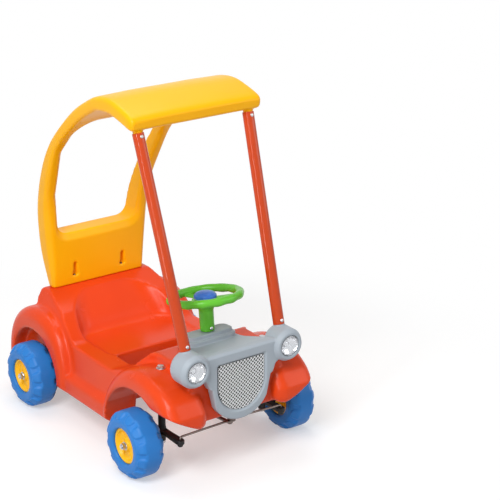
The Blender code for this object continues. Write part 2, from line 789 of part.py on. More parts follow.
def screw(name, place, length):
    """A pan head screw whose head sits just off the face at Z = 0 of its place."""
    top = GAP + SCREW_HEAD_T
    profile = [(0.0, top), (SCREW_HEAD_R * 0.7, top), (SCREW_HEAD_R, GAP), (SCREW_R, GAP),
               (SCREW_R, -length), (0.0, -length)]
    return turned(name, profile, place, 8, PARTS, STEEL)


# Grey fascia, lamps and grille

def shield_outline():
    """The surround seen from the front: a bar across the lamps and a round bib."""
    bib = arc(0.0, up(SHIELD_ROUND_Z), SHIELD_ROUND_Z - FASCIA_LOW, -150, -30, 12)
    right = [(SHIELD_HALF - 0.006, up(SHIELD_ROUND_Z + 0.010)), (SHIELD_HALF + 0.004, up(0.178)),
             (HEADLIGHT_X - 0.010, up(0.192)), (HEADLIGHT_X - 0.010, up(FASCIA_TOP - 0.004)),
             (HEADLIGHT_X - 0.040, up(FASCIA_TOP))]
    left = [(-a, b) for a, b in reversed(right)]
    return [tuple(p) for p in bib] + right + left


def grille_outline(inset):
    """The straight-topped, round-bottomed grille opening, drawn in by an inset."""
    half = GRILLE_HALF - inset
    drop = GRILLE_ROUND_Z - 0.078 - inset
    bottom = [(half * cos(radians(t)), up(GRILLE_ROUND_Z) + drop * sin(radians(t)))
              for t in range(-180, 1, 15)]
    return bottom + [(half, up(GRILLE_TOP - inset)), (-half, up(GRILLE_TOP - inset))]


def stadium(half_x, y_low, y_high, radius):
    return fillet([(-half_x, y_low, radius), (half_x, y_low, radius),
                   (half_x, y_high, radius), (-half_x, y_high, radius)], steps=4)


def pod(side, margin):
    """A lamp's round housing, or the pocket it sits in where the margin is a gap."""
    depth = POD_BACK - POD_FRONT + margin
    r = POD_R + margin
    shape = [(0.0, depth), (r - 0.010, depth), (r, depth - 0.010), (r, 0.005), (r - 0.005, 0.0), (0.0, 0.0)]
    place = along((side * HEADLIGHT_X, front(POD_FRONT), up(HEADLIGHT_Z)), (0, 1, 0))
    return turned("pod", shape, place, POD_STEPS, CUTTERS)


def front_fascia():
    y_front = front(FASCIA_FRONT)
    shell = slab("front_fascia", shield_outline(), FRONT_VIEW, y_front, y_front + FASCIA_T, 0.004, PARTS,
                 GREY_PLASTIC)
    deck = [(y_front + 0.004, up(FASCIA_TOP - 0.001)), (y_front + 0.004, up(HOOD + GAP)),
            (front(HOOD_BACK - 0.016), up(HOOD + GAP)), (front(HOOD_BACK - 0.016), up(HOOD + 0.010)),
            (front(-0.016), up(HOOD + 0.016))]
    plan = [(-FASCIA_HALF, y_front), (FASCIA_HALF, y_front), (FASCIA_HALF, front(-0.095)),
            (DASH_HALF + 0.006, front(-0.030)), (DASH_HALF + 0.001, front(HOOD_BACK)),
            (-DASH_HALF - 0.001, front(HOOD_BACK)), (-DASH_HALF - 0.006, front(-0.030)),
            (-FASCIA_HALF, front(-0.095))]
    top = slab("fascia_deck", deck, SIDE_VIEW, -FASCIA_HALF - 0.01, FASCIA_HALF + 0.01)
    common(top, slab("deck_plan", plan, PLAN_VIEW, up(0.10), up(0.30)))
    pieces = [top]
    for z_low, z_high, shrink in ((DASH_LOW, DASH_STEP, 0.0), (DASH_STEP - 0.002, DASH_TOP, 0.008)):
        tier = stadium(DASH_HALF - shrink, -0.034 + shrink, 0.034 - shrink, 0.024 - shrink * 0.5)
        pieces.append(slab("dash_tier", tier, PLAN_VIEW, z_low, z_high, 0.0, CUTTERS, None, COLUMN))
    for _, side in SIDES:
        pieces.append(pod(side, 0.0))
        foot = post_point(side, 0.0)
        line = post_direction(side)
        pieces.append(pin("post_pedestal", POST_R + 0.001, foot - line * 0.034, foot, CUTTERS, steps=20))
        pieces.append(pin("post_peg", PEG_R, foot - line * 0.030, foot + line * PEG_LENGTH, CUTTERS,
                          steps=12))
    join(shell, *pieces)
    cutters = [slab("grille_recess", grille_outline(0.0), FRONT_VIEW, y_front - 0.01,
                    y_front + GRILLE_DEPTH)]
    for _, side in SIDES:
        x = side * HEADLIGHT_X
        cutters.append(pin("lamp_bowl", LENS_R, (x, front(POD_FRONT - 0.01), up(HEADLIGHT_Z)),
                           (x, front(POD_FRONT + 0.024), up(HEADLIGHT_Z)), CUTTERS, steps=LAMP_STEPS))
        cutters.append(screw_hole(side, 0.0))
    cutters.append(pin("column_hole", COLUMN_BUSH_R + GAP, COLUMN @ Vector((0, 0, 0.12)),
                       COLUMN @ Vector((0, 0, 0.26)), CUTTERS, steps=20))
    return cut(shell, *cutters)


def grille_mesh():
    y_back = front(FASCIA_FRONT) + GRILLE_DEPTH
    return slab("grille_mesh", grille_outline(GAP), FRONT_VIEW, y_back - 0.003, y_back - GAP, 0.0, PARTS,
                MESH_WHITE)


def headlight(name, side):
    """A chrome bowl and the clear lens that closes it."""
    face = along((side * HEADLIGHT_X, front(POD_FRONT), up(HEADLIGHT_Z)), (0, 1, 0))
    rim = inside(LENS_R, LAMP_STEPS)
    bowl = [(0.0, 0.0235), (0.018, 0.0235), (rim, 0.013), (rim, 0.006), (rim - 0.003, 0.006),
            (0.016, 0.020), (0.0, 0.0205)]
    reflector = turned("headlight_reflector_" + name, bowl, face, 16, PARTS, CHROME)
    glass = [(0.0, 0.0035), (rim - 0.001, 0.0057), (rim, 0.0057), (rim, 0.003), (0.018, -0.001),
             (0.0, -0.002)]
    lens = turned("headlight_lens_" + name, glass, face, 16, PARTS, CLEAR)
    return reflector, lens


def inside(radius, steps):
    """The largest radius that stands a gap clear inside a bore of that many flats."""
    return radius * cos(pi / steps) - GAP


def ring(name, outer, inner, place, low, high, steps=20, collection=PARTS, material=STEEL):
    profile = [(inner, high), (outer, high), (outer, low), (inner, low)]
    return turned(name, profile, place, steps, collection, material)


def hex_nut(name, outer, inner, place, low, high):
    nut = pin(name, outer, place @ Vector((0, 0, low)), place @ Vector((0, 0, high)), steps=6)
    hole = pin("nut_hole", inner, place @ Vector((0, 0, low - 0.01)), place @ Vector((0, 0, high + 0.01)),
               CUTTERS, steps=16)
    return cut(nut, hole)


# Wheels

def wheel(name, side, y):
    """Tyre and hub about an empty on the wheel's own axis, Z pointing outboard."""
    place = along((side * HALF_TRACK, y, up(0)), (side, 0, 0))
    w = TYRE_WIDTH / 2
    bore = HUB_R
    r = WHEEL_R
    tread = [(bore, w - 0.006), (bore + 0.012, w), (r - 0.018, w - 0.002), (r, w - 0.020),
             (r, 0.020 - w), (r - 0.018, 0.002 - w), (bore + 0.012, -w), (bore, 0.006 - w)]
    tyre = turned("tyre_" + name, tread, place, TYRE_STEPS, PARTS, BLUE_PLASTIC)
    h = inside(HUB_R, TYRE_STEPS)
    plate = [(AXLE_R + RUNNING_GAP, HUB_OUTER), (0.014, HUB_OUTER), (0.019, 0.023), (0.037, 0.023),
             (0.042, 0.031), (h, 0.031), (h, -0.031), (0.042, -0.031), (0.014, 0.008),
             (0.014, -HUB_INNER), (AXLE_R + RUNNING_GAP, -HUB_INNER)]
    hub = turned("hub_" + name, plate, place, 16, PARTS, YELLOW_PLASTIC)
    joint = empty("wheel_axis_" + name, place)
    ride(joint, tyre, hub)
    return joint


def wheel_nut(name, side, y):
    """A washer and a hexagon nut on an axle's end."""
    place = along((side * HALF_TRACK, y, up(0)), (side, 0, 0))
    low = HUB_OUTER + RUNNING_GAP
    washer = ring(name.replace("nut", "washer"), WASHER_R, AXLE_R + GAP, place, low, low + WASHER_T, 16)
    low += WASHER_T + GAP
    nut = hex_nut(name, NUT_R, AXLE_R + GAP, place, low, low + NUT_T)
    return nut, washer


# Front knuckles and steering

def knuckle(name, side):
    """A black knuckle: sleeve on the kingpin, stub for the axle and arm to the tie rod."""
    x = side * KINGPIN_X
    label = "knuckle_" + name
    block = pin(label, KNUCKLE_R, (x, front(0), up(KNUCKLE_FOOT)),
                (x, front(0), up(THRUST_SEAT - RUNNING_GAP)), PARTS, BLACK_PLASTIC, 16)
    stub_end = side * (HALF_TRACK - HUB_INNER - RUNNING_GAP)
    stub = pin("knuckle_stub", 0.0095, (x, front(0), up(0)), (stub_end, front(0), up(0)), CUTTERS, steps=14)
    eye = 0.011
    root = 0.010
    arm = [(x + root, front(0.006)), (x - root, front(0.006)), (x - eye, front(-ARM_LENGTH + 0.004))]
    arm += [tuple(p) for p in arc(x, front(-ARM_LENGTH), eye, 180, 360, 7)]
    arm += [(x + eye, front(-ARM_LENGTH + 0.004))]
    bar = slab("knuckle_arm", arm, PLAN_VIEW, up(ARM_TOP - ARM_T), up(ARM_TOP))
    join(block, stub, bar)
    eye_hole = pin("eye_hole", ROD_PIN_R + RUNNING_GAP, (x, front(-ARM_LENGTH), up(0)),
                   (x, front(-ARM_LENGTH), up(0.04)), CUTTERS, steps=12)
    pin_hole = pin("kingpin_hole", KINGPIN_R + RUNNING_GAP, (x, front(0), up(-0.03)),
                   (x, front(0), up(0.14)), CUTTERS, steps=16)
    axle_hole = pin("axle_hole", AXLE_R + GAP, (side * (KINGPIN_X + 0.0085), front(0), up(0)),
                    (side * 0.25, front(0), up(0)), CUTTERS, steps=16)
    cut(block, pin_hole, axle_hole, eye_hole)
    axle = pin("stub_axle_" + name, AXLE_R, (side * (KINGPIN_X + 0.0088), front(0), up(0)),
               (side * (HALF_TRACK + AXLE_END), front(0), up(0)), steps=16)
    nut = wheel_nut("front_wheel_nut_" + name, side, front(0))
    joint = empty("knuckle_axis_" + name, Matrix.Translation((x, front(0), up(0))))
    ride(joint, block, axle, *nut)
    return joint


def kingpin(name, side):
    """A hexagon bolt down through the fender and knuckle, with its washer and lower nut."""
    x = side * KINGPIN_X
    top = up(KINGPIN_SEAT) + GAP
    low = up(KNUCKLE_FOOT)
    place = Matrix.Translation((x, front(0), 0.0))
    ring("kingpin_washer_" + name, 0.0115, KINGPIN_R + GAP, place, top, top + KINGPIN_WASHER_T, 16)
    head_low = top + KINGPIN_WASHER_T + GAP
    bolt = pin("kingpin_" + name, KINGPIN_R, place @ Vector((0, 0, low - 0.010)),
               place @ Vector((0, 0, head_low + 0.003)), steps=16)
    head = pin("kingpin_head", NUT_R, place @ Vector((0, 0, head_low)),
               place @ Vector((0, 0, head_low + 0.006)), CUTTERS, steps=6)
    join(bolt, head)
    hex_nut("kingpin_nut_" + name, NUT_R, KINGPIN_R + GAP, place, low - RUNNING_GAP - 0.007,
            low - RUNNING_GAP)


def steering_column():
    """One steel bar: up the column, with its foot bent forward and up into the crank pin."""
    bend = fillet([(0.0, COLUMN_LENGTH - 0.001, 0.0), (0.0, 0.0, 0.012), (-ARM_LENGTH, 0.0, 0.008),
                   (-ARM_LENGTH, 0.024, 0.0)], steps=4)
    bar = rod("steering_column", [(0.0, p[0], p[1]) for p in bend], COLUMN_R, COLUMN, resolution=2)
    place = steering_screw_place()
    cut(bar, pin("column_screw_hole", SCREW_R + GAP, place @ Vector((0, 0, -0.02)),
                 place @ Vector((0, 0, 0.02)), CUTTERS, steps=12))
    return bar


def steering_screw_place(out=0.0):
    """Where the steering screw enters the sleeve, its Z pointing to the front."""
    ahead = COLUMN.to_3x3() @ Vector((0, -1, 0))
    return along(COLUMN @ Vector((0, 0, STEERING_SCREW_RISE)), ahead) @ Matrix.Translation((0, 0, out))


def steering_wheel():
    """Rim, three spokes, hub cup and the long sleeve that the column passes up into."""
    mid = COLUMN_LENGTH
    spigot = HORN_R - HORN_WALL - RUNNING_GAP
    sleeve = [(COLUMN_R + GAP, mid + 0.001), (spigot, mid + 0.001), (spigot, mid - 0.006),
              (0.036, mid - 0.006), (0.034, mid - 0.014), (SLEEVE_R, mid - 0.028),
              (SLEEVE_R - 0.001, DASH_TOP + TRIM), (COLUMN_R + GAP, DASH_TOP + TRIM)]
    core = turned("steering_wheel", sleeve, COLUMN, 20, PARTS, GREEN_PLASTIC)
    major = STEERING_WHEEL_R - RIM_R
    rim = [(major + RIM_R * cos(radians(t)), mid + RIM_R * sin(radians(t))) for t in range(90, -270, -45)]
    centre = Matrix.Translation((0, 0, mid))
    raked = COLUMN @ centre @ Matrix.Rotation(radians(-STEERING_WHEEL_RAKE), 4, "X") @ centre.inverted()
    pieces = [turned("rim", rim, raked, 28, CUTTERS)]
    for k in range(3):
        turn = Matrix.Rotation(radians(90 + 120 * k), 4, "Z")
        spoke = [(0.033, -0.009), (major, -0.011), (major, 0.011), (0.033, 0.009)]
        spoke = [tuple((turn @ Vector((a, b, 0)))[:2]) for a, b in spoke]
        pieces.append(slab("spoke", spoke, PLAN_VIEW, mid - 0.010, mid - 0.004, 0.0, CUTTERS, None, raked))
    join(core, *pieces)
    place = steering_screw_place()
    bore = pin("column_socket", COLUMN_R + GAP, COLUMN @ Vector((0, 0, mid - 0.10)),
               COLUMN @ Vector((0, 0, mid + 0.02)), CUTTERS, steps=20)
    hole = pin("sleeve_screw_hole", SCREW_R + GAP, place @ Vector((0, 0, 0.0)),
               place @ Vector((0, 0, 0.03)), CUTTERS, steps=12)
    cut(core, bore, hole)
    return core


def horn_button():
    """A blue dome whose skirt slides on the hub's spigot."""
    low = COLUMN_LENGTH - 0.006 + HORN_TRAVEL + TRIM
    skirt = HORN_R - HORN_WALL
    dome = [(0.0, low + 0.017), (0.015, low + 0.0158), (0.025, low + 0.0125), (HORN_R, low + 0.008),
            (HORN_R, low), (skirt, low), (skirt, low + 0.0075), (0.0, low + 0.0105)]
    return turned("horn_button", dome, COLUMN, 20, PARTS, BLUE_PLASTIC)


def tie_rod(name, side):
    """A steel rod from a knuckle's arm to its eye on the crank pin."""
    x = side * KINGPIN_X
    y = front(-ARM_LENGTH)
    level = PIN_Z + (EYE_T + 0.0008) * (0 if side < 0 else 1)
    outer = up(ARM_TOP + 0.0075)
    path = [(x, y, up(-0.001)), (x, y, outer - 0.002), (x - side * 0.002, y, outer),
            (side * (EYE_R + 0.010), PIN_Y, level + EYE_T / 2)]
    bar = rod("tie_rod_" + name, path, ROD_R, None, PARTS, STEEL, 2)
    eye = pin("eye", EYE_R, (0, PIN_Y, level), (0, PIN_Y, level + EYE_T), CUTTERS, steps=20)
    ends = sorted((side * (EYE_R - 0.003), side * (EYE_R + 0.014)))
    neck = [(ends[0], PIN_Y - 0.0045), (ends[1], PIN_Y - 0.0045), (ends[1], PIN_Y + 0.0045),
            (ends[0], PIN_Y + 0.0045)]
    join(bar, eye, slab("neck", neck, PLAN_VIEW, level, level + EYE_T))
    cut(bar, pin("eye_bore", COLUMN_R + 0.0018, (0, PIN_Y, level - 0.01), (0, PIN_Y, level + 0.02),
                 CUTTERS, steps=20))
    under = up(ARM_TOP - ARM_T) - GAP
    cap = pin("tie_rod_cap_" + name, 0.0075, (x, y, under - 0.007), (x, y, under), PARTS, BLACK_PLASTIC, 16)
    cut(cap, pin("cap_hole", ROD_R + GAP, (x, y, up(-0.0016)), (x, y, under + 0.01), CUTTERS, steps=16))
    joint = empty("tie_rod_axis_" + name, Matrix.Translation((x, y, up(ARM_TOP))))
    ride(joint, bar, cap)
    return joint


def column_bushes():
    """Plain flanged bushes at the bottom and the top of the column's bore."""
    made = []
    top = DASH_TOP
    low_face = (up(FRONT_BELLY) - COLUMN.translation.z) / cos(COLUMN.to_euler().x)
    bore = COLUMN_R + RUNNING_GAP
    flange = COLUMN_BUSH_FLANGE_R
    bush = [(bore, low_face + COLUMN_BUSH_LENGTH), (COLUMN_BUSH_R, low_face + COLUMN_BUSH_LENGTH),
            (COLUMN_BUSH_R, low_face - 0.0012), (flange, low_face - 0.0012), (flange, low_face - 0.0035),
            (bore, low_face - 0.0035)]
    made.append(turned("column_bush_lower", bush, COLUMN, 12, PARTS, BLACK_PLASTIC))
    bush = [(bore, top - RUNNING_GAP), (COLUMN_BUSH_R, top - RUNNING_GAP),
            (COLUMN_BUSH_R, top - COLUMN_BUSH_LENGTH), (bore, top - COLUMN_BUSH_LENGTH)]
    made.append(turned("column_bush_upper", bush, COLUMN, 12, PARTS, BLACK_PLASTIC))
    return made


def rear_axle():
    """The axle across the car, its two bushes in the body and its nuts."""
    end = HALF_TRACK + AXLE_END
    pin("rear_axle", AXLE_R, (-end, rear(0), up(0)), (end, rear(0), up(0)), steps=16)
    for name, side in SIDES:
        face = side * (REAR_ARCH_INNER + GAP)
        place = along((face, rear(0), up(0)), (side, 0, 0))
        nose = HALF_TRACK - HUB_INNER - REAR_ARCH_INNER - GAP - RUNNING_GAP
        bush = [(AXLE_R + GAP, nose), (BUSH_R + 0.001, nose), (BUSH_R + 0.003, 0.0), (BUSH_R, 0.0),
                (BUSH_R, -BUSH_LENGTH), (AXLE_R + GAP, -BUSH_LENGTH)]
        turned("rear_bush_" + name, bush, place, 12, PARTS, BLACK_PLASTIC)
        wheel_nut("rear_wheel_nut_" + name, side, rear(0))


def build():
    body_shell()
    canopy()
    for name, side in SIDES:
        post("front_post_" + name, side)
    front_fascia()
    grille_mesh()
    for name, side in SIDES:
        place = Matrix.Translation((side * CANOPY_SCREW_X, rear(CANOPY_SCREW_Y), up(SLOT_LOW)))
        screw("canopy_screw_" + name, place, SLOT_LOW - DECK + SCREW_BITE)
        screw("post_foot_screw_" + name, screw_frame(side, 0.0), POST_SCREW_LENGTH)
        screw("post_head_screw_" + name, screw_frame(side, 1.0), POST_SCREW_LENGTH)
    rear_axle()
    column_bushes()
    for name, side in SIDES:
        headlight(name, side)
        kingpin(name, side)
        steer = knuckle(name, side)
        front_wheel = wheel("front_" + name, side, front(0))
        wheel("rear_" + name, side, rear(0))
        bpy.context.view_layer.update()
        link = tie_rod(name, side)
        for child in (front_wheel, link):
            place = child.matrix_world.copy()
            child.parent = steer
            child.matrix_parent_inverse = steer.matrix_world.inverted()
            child.matrix_world = place
    column = empty("steering_axis", COLUMN)
    place = steering_screw_place(SLEEVE_R + GAP)
    ride(column, steering_column(), steering_wheel(), screw("steering_screw", place, STEERING_SCREW_LENGTH))
    press = empty("horn_axis", COLUMN @ Matrix.Translation((0, 0, COLUMN_LENGTH)))
    ride(press, horn_button())
    ride(column, press)


build()
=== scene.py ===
# %% [markdown]
# A small child sits in this car and pushes it along with both feet. Every big piece is a hollow
# blow moulding, so nothing on it is sharp: walls swell, corners are soft, and even flat faces
# ripple a little. The steel is left to what turns or holds: posts, axles, rods, bolts and screws.
#
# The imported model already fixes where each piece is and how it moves. This file gives the pieces
# their real surface, one after the other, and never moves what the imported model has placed.

# %% Load the frame
import math
import bpy
from mathutils import Matrix, Vector


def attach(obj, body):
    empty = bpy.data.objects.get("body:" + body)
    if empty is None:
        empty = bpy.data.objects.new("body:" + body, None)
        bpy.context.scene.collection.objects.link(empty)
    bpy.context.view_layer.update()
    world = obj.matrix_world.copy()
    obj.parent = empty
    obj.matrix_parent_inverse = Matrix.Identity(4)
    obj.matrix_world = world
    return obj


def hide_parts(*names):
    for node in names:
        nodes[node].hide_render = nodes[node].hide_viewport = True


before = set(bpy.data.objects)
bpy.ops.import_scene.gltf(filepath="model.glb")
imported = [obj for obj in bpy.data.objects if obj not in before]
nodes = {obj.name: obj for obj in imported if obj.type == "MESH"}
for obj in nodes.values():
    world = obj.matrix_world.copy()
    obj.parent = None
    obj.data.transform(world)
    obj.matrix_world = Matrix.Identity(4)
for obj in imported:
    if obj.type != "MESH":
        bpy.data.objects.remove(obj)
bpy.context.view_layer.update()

# %% [markdown]
# The photograph was taken from the car's front right, a little above the canopy. A long lens keeps
# upright lines nearly parallel. The camera looks straight ahead with no shift, so that every other
# view of the car can be taken by walking round it.

# %% Camera
CAMERA_PLACE = (-2.234, -3.490, 1.998)
CAMERA_AZIMUTH = -36.24
CAMERA_ELEVATION = 20.17
FOCAL_PER_WIDTH = 1644.8 / 500

lens = bpy.data.cameras.new("view")
lens.sensor_width = 36.0
lens.lens = FOCAL_PER_WIDTH * lens.sensor_width
lens.clip_end = 50.0
camera = bpy.data.objects.new("view", lens)
camera.location = CAMERA_PLACE
camera.rotation_euler = (math.radians(90 - CAMERA_ELEVATION), 0.0, math.radians(CAMERA_AZIMUTH))
bpy.context.collection.objects.link(camera)
bpy.context.scene.camera = camera
print("lens", round(lens.lens, 1), "mm")

# %% [markdown]
# The world, the floor and every material are small trees of nodes. One tool makes a node with its
# settings and feeds its inputs, each from a number or from another node's socket.

# %% Tools for node trees
WHITE = (1.0, 1.0, 1.0, 1.0)


def feed(tree, target, inputs):
    """Give each named or numbered input its value, or a link where the value is a socket."""
    for key, value in inputs.items():
        if isinstance(value, bpy.types.NodeSocket):
            tree.links.new(value, target.inputs[key])
        else:
            target.inputs[key].default_value = value


def node(tree, kind, inputs=None, **settings):
    made = tree.nodes.new("ShaderNode" + kind)
    for key, value in settings.items():
        setattr(made, key, value)
    feed(tree, made, inputs or {})
    return made


def reckon(tree, operation, *values):
    """One step of arithmetic on numbers or sockets."""
    return node(tree, "Math", dict(enumerate(values)), operation=operation).outputs[0]


def noise(tree, scale, detail, source, roughness=0.5):
    return node(tree, "TexNoise", {"Scale": scale, "Detail": detail, "Roughness": roughness,
                                   "Vector": source}).outputs["Fac"]


def new_material(name):
    """A material, its tree and its main shader."""
    made = bpy.data.materials.new(name)
    made.use_nodes = True
    return made, made.node_tree, made.node_tree.nodes["Principled BSDF"]


# %% [markdown]
# One soft lamp stands above and to the left, a weaker one to the right and one over the car, in a
# pale world. A tall narrow strip to the left draws the bright line along every tube and edge.
# Together they light the car at a plain level, at which a colour renders about as it is written.
# The world that the camera sees, also in a mirror or through a lens, is white.

# %% Light
LAMPS = {  # place, width, height, watts
    "key": ((-2.2, -1.6, 3.2), 1.6, 1.6, 92),
    "fill": ((2.6, -2.6, 2.0), 2.2, 2.2, 34),
    "top": ((0.3, 0.8, 3.4), 2.0, 2.0, 38),
    "strip": ((-2.6, -1.3, 1.2), 0.14, 2.2, 24)}
LIT_POINT = Vector((0.0, 0.0, 0.4))
WORLD_LEVEL = 0.24

for name, (place, width, tall, watts) in LAMPS.items():
    light = bpy.data.lights.new(name, "AREA")
    light.shape = "RECTANGLE"
    light.size, light.size_y = width, tall
    light.energy = watts
    lamp = bpy.data.objects.new(name, light)
    lamp.visible_camera = False
    lamp.location = place
    lamp.rotation_euler = (LIT_POINT - Vector(place)).to_track_quat("-Z", "Y").to_euler()
    bpy.context.collection.objects.link(lamp)


def seen_directly(tree):
    """1 for what the camera sees, in the open, in a reflection or through a lens."""
    rays = node(tree, "LightPath").outputs
    open_or_mirror = reckon(tree, "MAXIMUM", rays["Is Camera Ray"], rays["Is Glossy Ray"])
    return reckon(tree, "MAXIMUM", open_or_mirror, rays["Is Transmission Ray"])


world = bpy.data.worlds.new("studio")
world.use_nodes = True
bpy.context.scene.world = world
sky = world.node_tree
plain = sky.nodes["Background"]
feed(sky, plain, {"Color": WHITE, "Strength": WORLD_LEVEL})
white = node(sky, "Background", {"Color": WHITE, "Strength": 1.0})
choice = node(sky, "MixShader", {"Fac": seen_directly(sky), 1: plain.outputs[0], 2: white.outputs[0]})
feed(sky, sky.nodes["World Output"], {"Surface": choice.outputs[0]})
bpy.context.scene.view_settings.view_transform = "Standard"
print("lamps", list(LAMPS))

# %% [markdown]
# The stand is a sheet of white paper. Lit paper is never quite white, so the paper adds a little
# light of its own, only for the eye and never on the car. Near the car its grey shadow stays; a
# step further out the sheet fades to plain white, as it does in a catalogue picture.

# %% Floor
PAPER_TONE = 0.64
PAPER_GLOW = 0.40
SHADOW_REACH = (0.55, 1.30)

bpy.ops.object.select_all(action="DESELECT")
bpy.ops.mesh.primitive_plane_add(size=60.0, location=(0.0, 0.0, 0.0))
floor = bpy.context.object
floor.name = "floor"
sheet, paper, diffuse = new_material("floor_paper")
feed(paper, diffuse, {"Base Color": (PAPER_TONE, PAPER_TONE, PAPER_TONE, 1.0), "Roughness": 0.9,
                      "Specular IOR Level": 0.1})
glow = node(paper, "Emission", {"Strength": PAPER_GLOW})
lifted = node(paper, "AddShader", {0: diffuse.outputs[0], 1: glow.outputs[0]})
reach = node(paper, "VectorMath", {0: node(paper, "TexCoord").outputs["Object"]}, operation="LENGTH")
fade = node(paper, "MapRange", {"Value": reach.outputs["Value"], "From Min": SHADOW_REACH[0],
                                "From Max": SHADOW_REACH[1]}, interpolation_type="SMOOTHSTEP")
blank = node(paper, "Emission", {"Strength": 1.0})
eye = node(paper, "MixShader", {"Fac": fade.outputs["Result"], 1: lifted.outputs[0], 2: blank.outputs[0]})
final = node(paper, "MixShader", {"Fac": seen_directly(paper), 1: diffuse.outputs[0], 2: eye.outputs[0]})
feed(paper, paper.nodes["Material Output"], {"Surface": final.outputs[0]})
floor.data.materials.append(sheet)
print("stand", floor.name)

# %% [markdown]
# Blender's operators act on whatever is selected, so each step first selects one piece alone. These
# few tools do that, run one modifier at a time into the mesh, and leave the finished piece at the
# origin with its place in its mesh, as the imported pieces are.

# %% Tools of the bench
def deselect():
    if bpy.context.object and bpy.context.object.mode != "OBJECT":
        bpy.ops.object.mode_set(mode="OBJECT")
    bpy.ops.object.select_all(action="DESELECT")


def take(*things):
    """Select these things alone, the first of them active."""
    deselect()
    for thing in things:
        thing.select_set(True)
    bpy.context.view_layer.objects.active = things[0]
    return things[0]


def settle(thing, frame_of_place=None):
    """Put a thing in its place and work the place into its mesh."""
    if frame_of_place is not None:
        thing.matrix_world = frame_of_place @ thing.matrix_world
    take(thing)
    bpy.ops.object.transform_apply(location=True, rotation=True, scale=True)
    return thing


def face_out(thing):
    """Merge doubles and turn every face outwards."""
    take(thing)
    bpy.ops.object.mode_set(mode="EDIT")
    bpy.ops.mesh.select_all(action="SELECT")
    bpy.ops.mesh.remove_doubles(threshold=0.00001)
    bpy.ops.mesh.normals_make_consistent(inside=False)
    bpy.ops.object.mode_set(mode="OBJECT")
    return thing


def work_in(thing, kind, **settings):
    """Add a modifier, set it and apply it."""
    step = thing.modifiers.new(kind.lower(), kind)
    for key, value in settings.items():
        setattr(step, key, value)
    take(thing)
    bpy.ops.object.modifier_apply(modifier=step.name)
    return thing


def carve(thing, *cutters, operation="DIFFERENCE"):
    for cutter in cutters:
        work_in(thing, "BOOLEAN", operation=operation, object=cutter, solver="MANIFOLD")


def throw_away(*things):
    for thing in things:
        bpy.data.objects.remove(thing, do_unlink=True)


def cut(thing, *cutters, operation="DIFFERENCE"):
    """Carve with cutters that nothing else needs."""
    carve(thing, *cutters, operation=operation)
    throw_away(*cutters)


def joined(*things):
    take(*things)
    bpy.ops.object.join()
    return bpy.context.object


def smooth_below(degrees):
    """Shade the active piece smooth, and keep the edges that are sharper than this."""
    bpy.ops.object.shade_smooth_by_angle(angle=math.radians(degrees))


def block(size, place):
    deselect()
    bpy.ops.mesh.primitive_cube_add(size=1.0)
    made = bpy.context.object
    made.scale, made.location = size, place
    return settle(made)


def twin(thing, name):
    """A copy with a mesh of its own."""
    take(thing)
    bpy.ops.object.duplicate()
    made = bpy.context.object
    made.name = name
    return made


def other_side(thing, name):
    """The mirror image of a left piece, for the car's right."""
    made = twin(thing, name)
    made.scale.x = -1.0
    settle(made)
    return face_out(made)


def soft_skin(name, pieces, voxel, rounds, keep=1.0):
    """One closed skin round overlapping solids, softened as blown plastic is, then thinned out."""
    made = joined(*pieces) if len(pieces) > 1 else take(*pieces)
    made.name = name
    work_in(made, "REMESH", mode="VOXEL", voxel_size=voxel)
    work_in(made, "SMOOTH", factor=0.5, iterations=rounds)
    if keep < 1.0:
        work_in(made, "DECIMATE", ratio=keep)
    bpy.ops.object.shade_smooth()
    print(name, "triangles", sum(len(face.vertices) - 2 for face in made.data.polygons))
    return made


# %% [markdown]
# Most forms start as a flat outline, as a pattern maker would draw it: corners with a radius, arcs,
# and the full-shouldered oval of a fender. An outline is drawn in the side view, the front view or
# the plan, and a view is only a turn of the axes.

# %% Outlines and views
FRONT_AXLE = -0.277
REAR_AXLE = 0.255
AXLE_HEIGHT = 0.090
SIDES = (("right", -1), ("left", 1))
SIDE_VIEW = Matrix(((0, 0, 1, 0), (1, 0, 0, 0), (0, 1, 0, 0), (0, 0, 0, 1)))
FRONT_VIEW = Matrix(((1, 0, 0, 0), (0, 0, -1, 0), (0, 1, 0, 0), (0, 0, 0, 1)))
PLAN_VIEW = Matrix.Identity(4)


def front(dy):
    return FRONT_AXLE + dy


def rear(dy):
    return REAR_AXLE + dy


def up(dz):
    return AXLE_HEIGHT + dz


def at_front(*corners):
    """Corners of the side view, measured from the front axle."""
    return [(front(a), up(b), *radius) for a, b, *radius in corners]


def at_rear(*corners):
    """Corners of the side view, measured from the rear axle."""
    return [(rear(a), up(b), *radius) for a, b, *radius in corners]


def both_halves(half):
    """The left half's corners, then their mirror images on the way back."""
    return half + [(-a, *rest) for a, *rest in reversed(half)]


def fillet(corners, steps=10):
    """An outline whose corners, each (a, b, radius), become arcs."""
    points = []
    count = len(corners)
    for i, (a, b, radius) in enumerate(corners):
        here = Vector((a, b))
        before = Vector(corners[i - 1][:2]) - here
        after = Vector(corners[(i + 1) % count][:2]) - here
        half_angle = before.angle(after) / 2
        room = min(before.length, after.length) * 0.49
        radius = min(radius, room * math.tan(half_angle))
        if radius < 1e-5:
            points.append((a, b))
            continue
        before.normalize()
        after.normalize()
        middle = here + (before + after).normalized() * (radius / math.sin(half_angle))
        start = here + before * (radius / math.tan(half_angle)) - middle
        end = here + after * (radius / math.tan(half_angle)) - middle
        sweep = start.angle_signed(end)
        for k in range(steps + 1):
            place = middle + Matrix.Rotation(-sweep * k / steps, 2) @ start
            points.append((place.x, place.y))
    return points


def rounded_box(half, low, high, radius, steps=10):
    """A rectangle over the car's middle line, its corners rounded."""
    return fillet([(-half, low, radius), (half, low, radius), (half, high, radius), (-half, high, radius)],
                  steps)


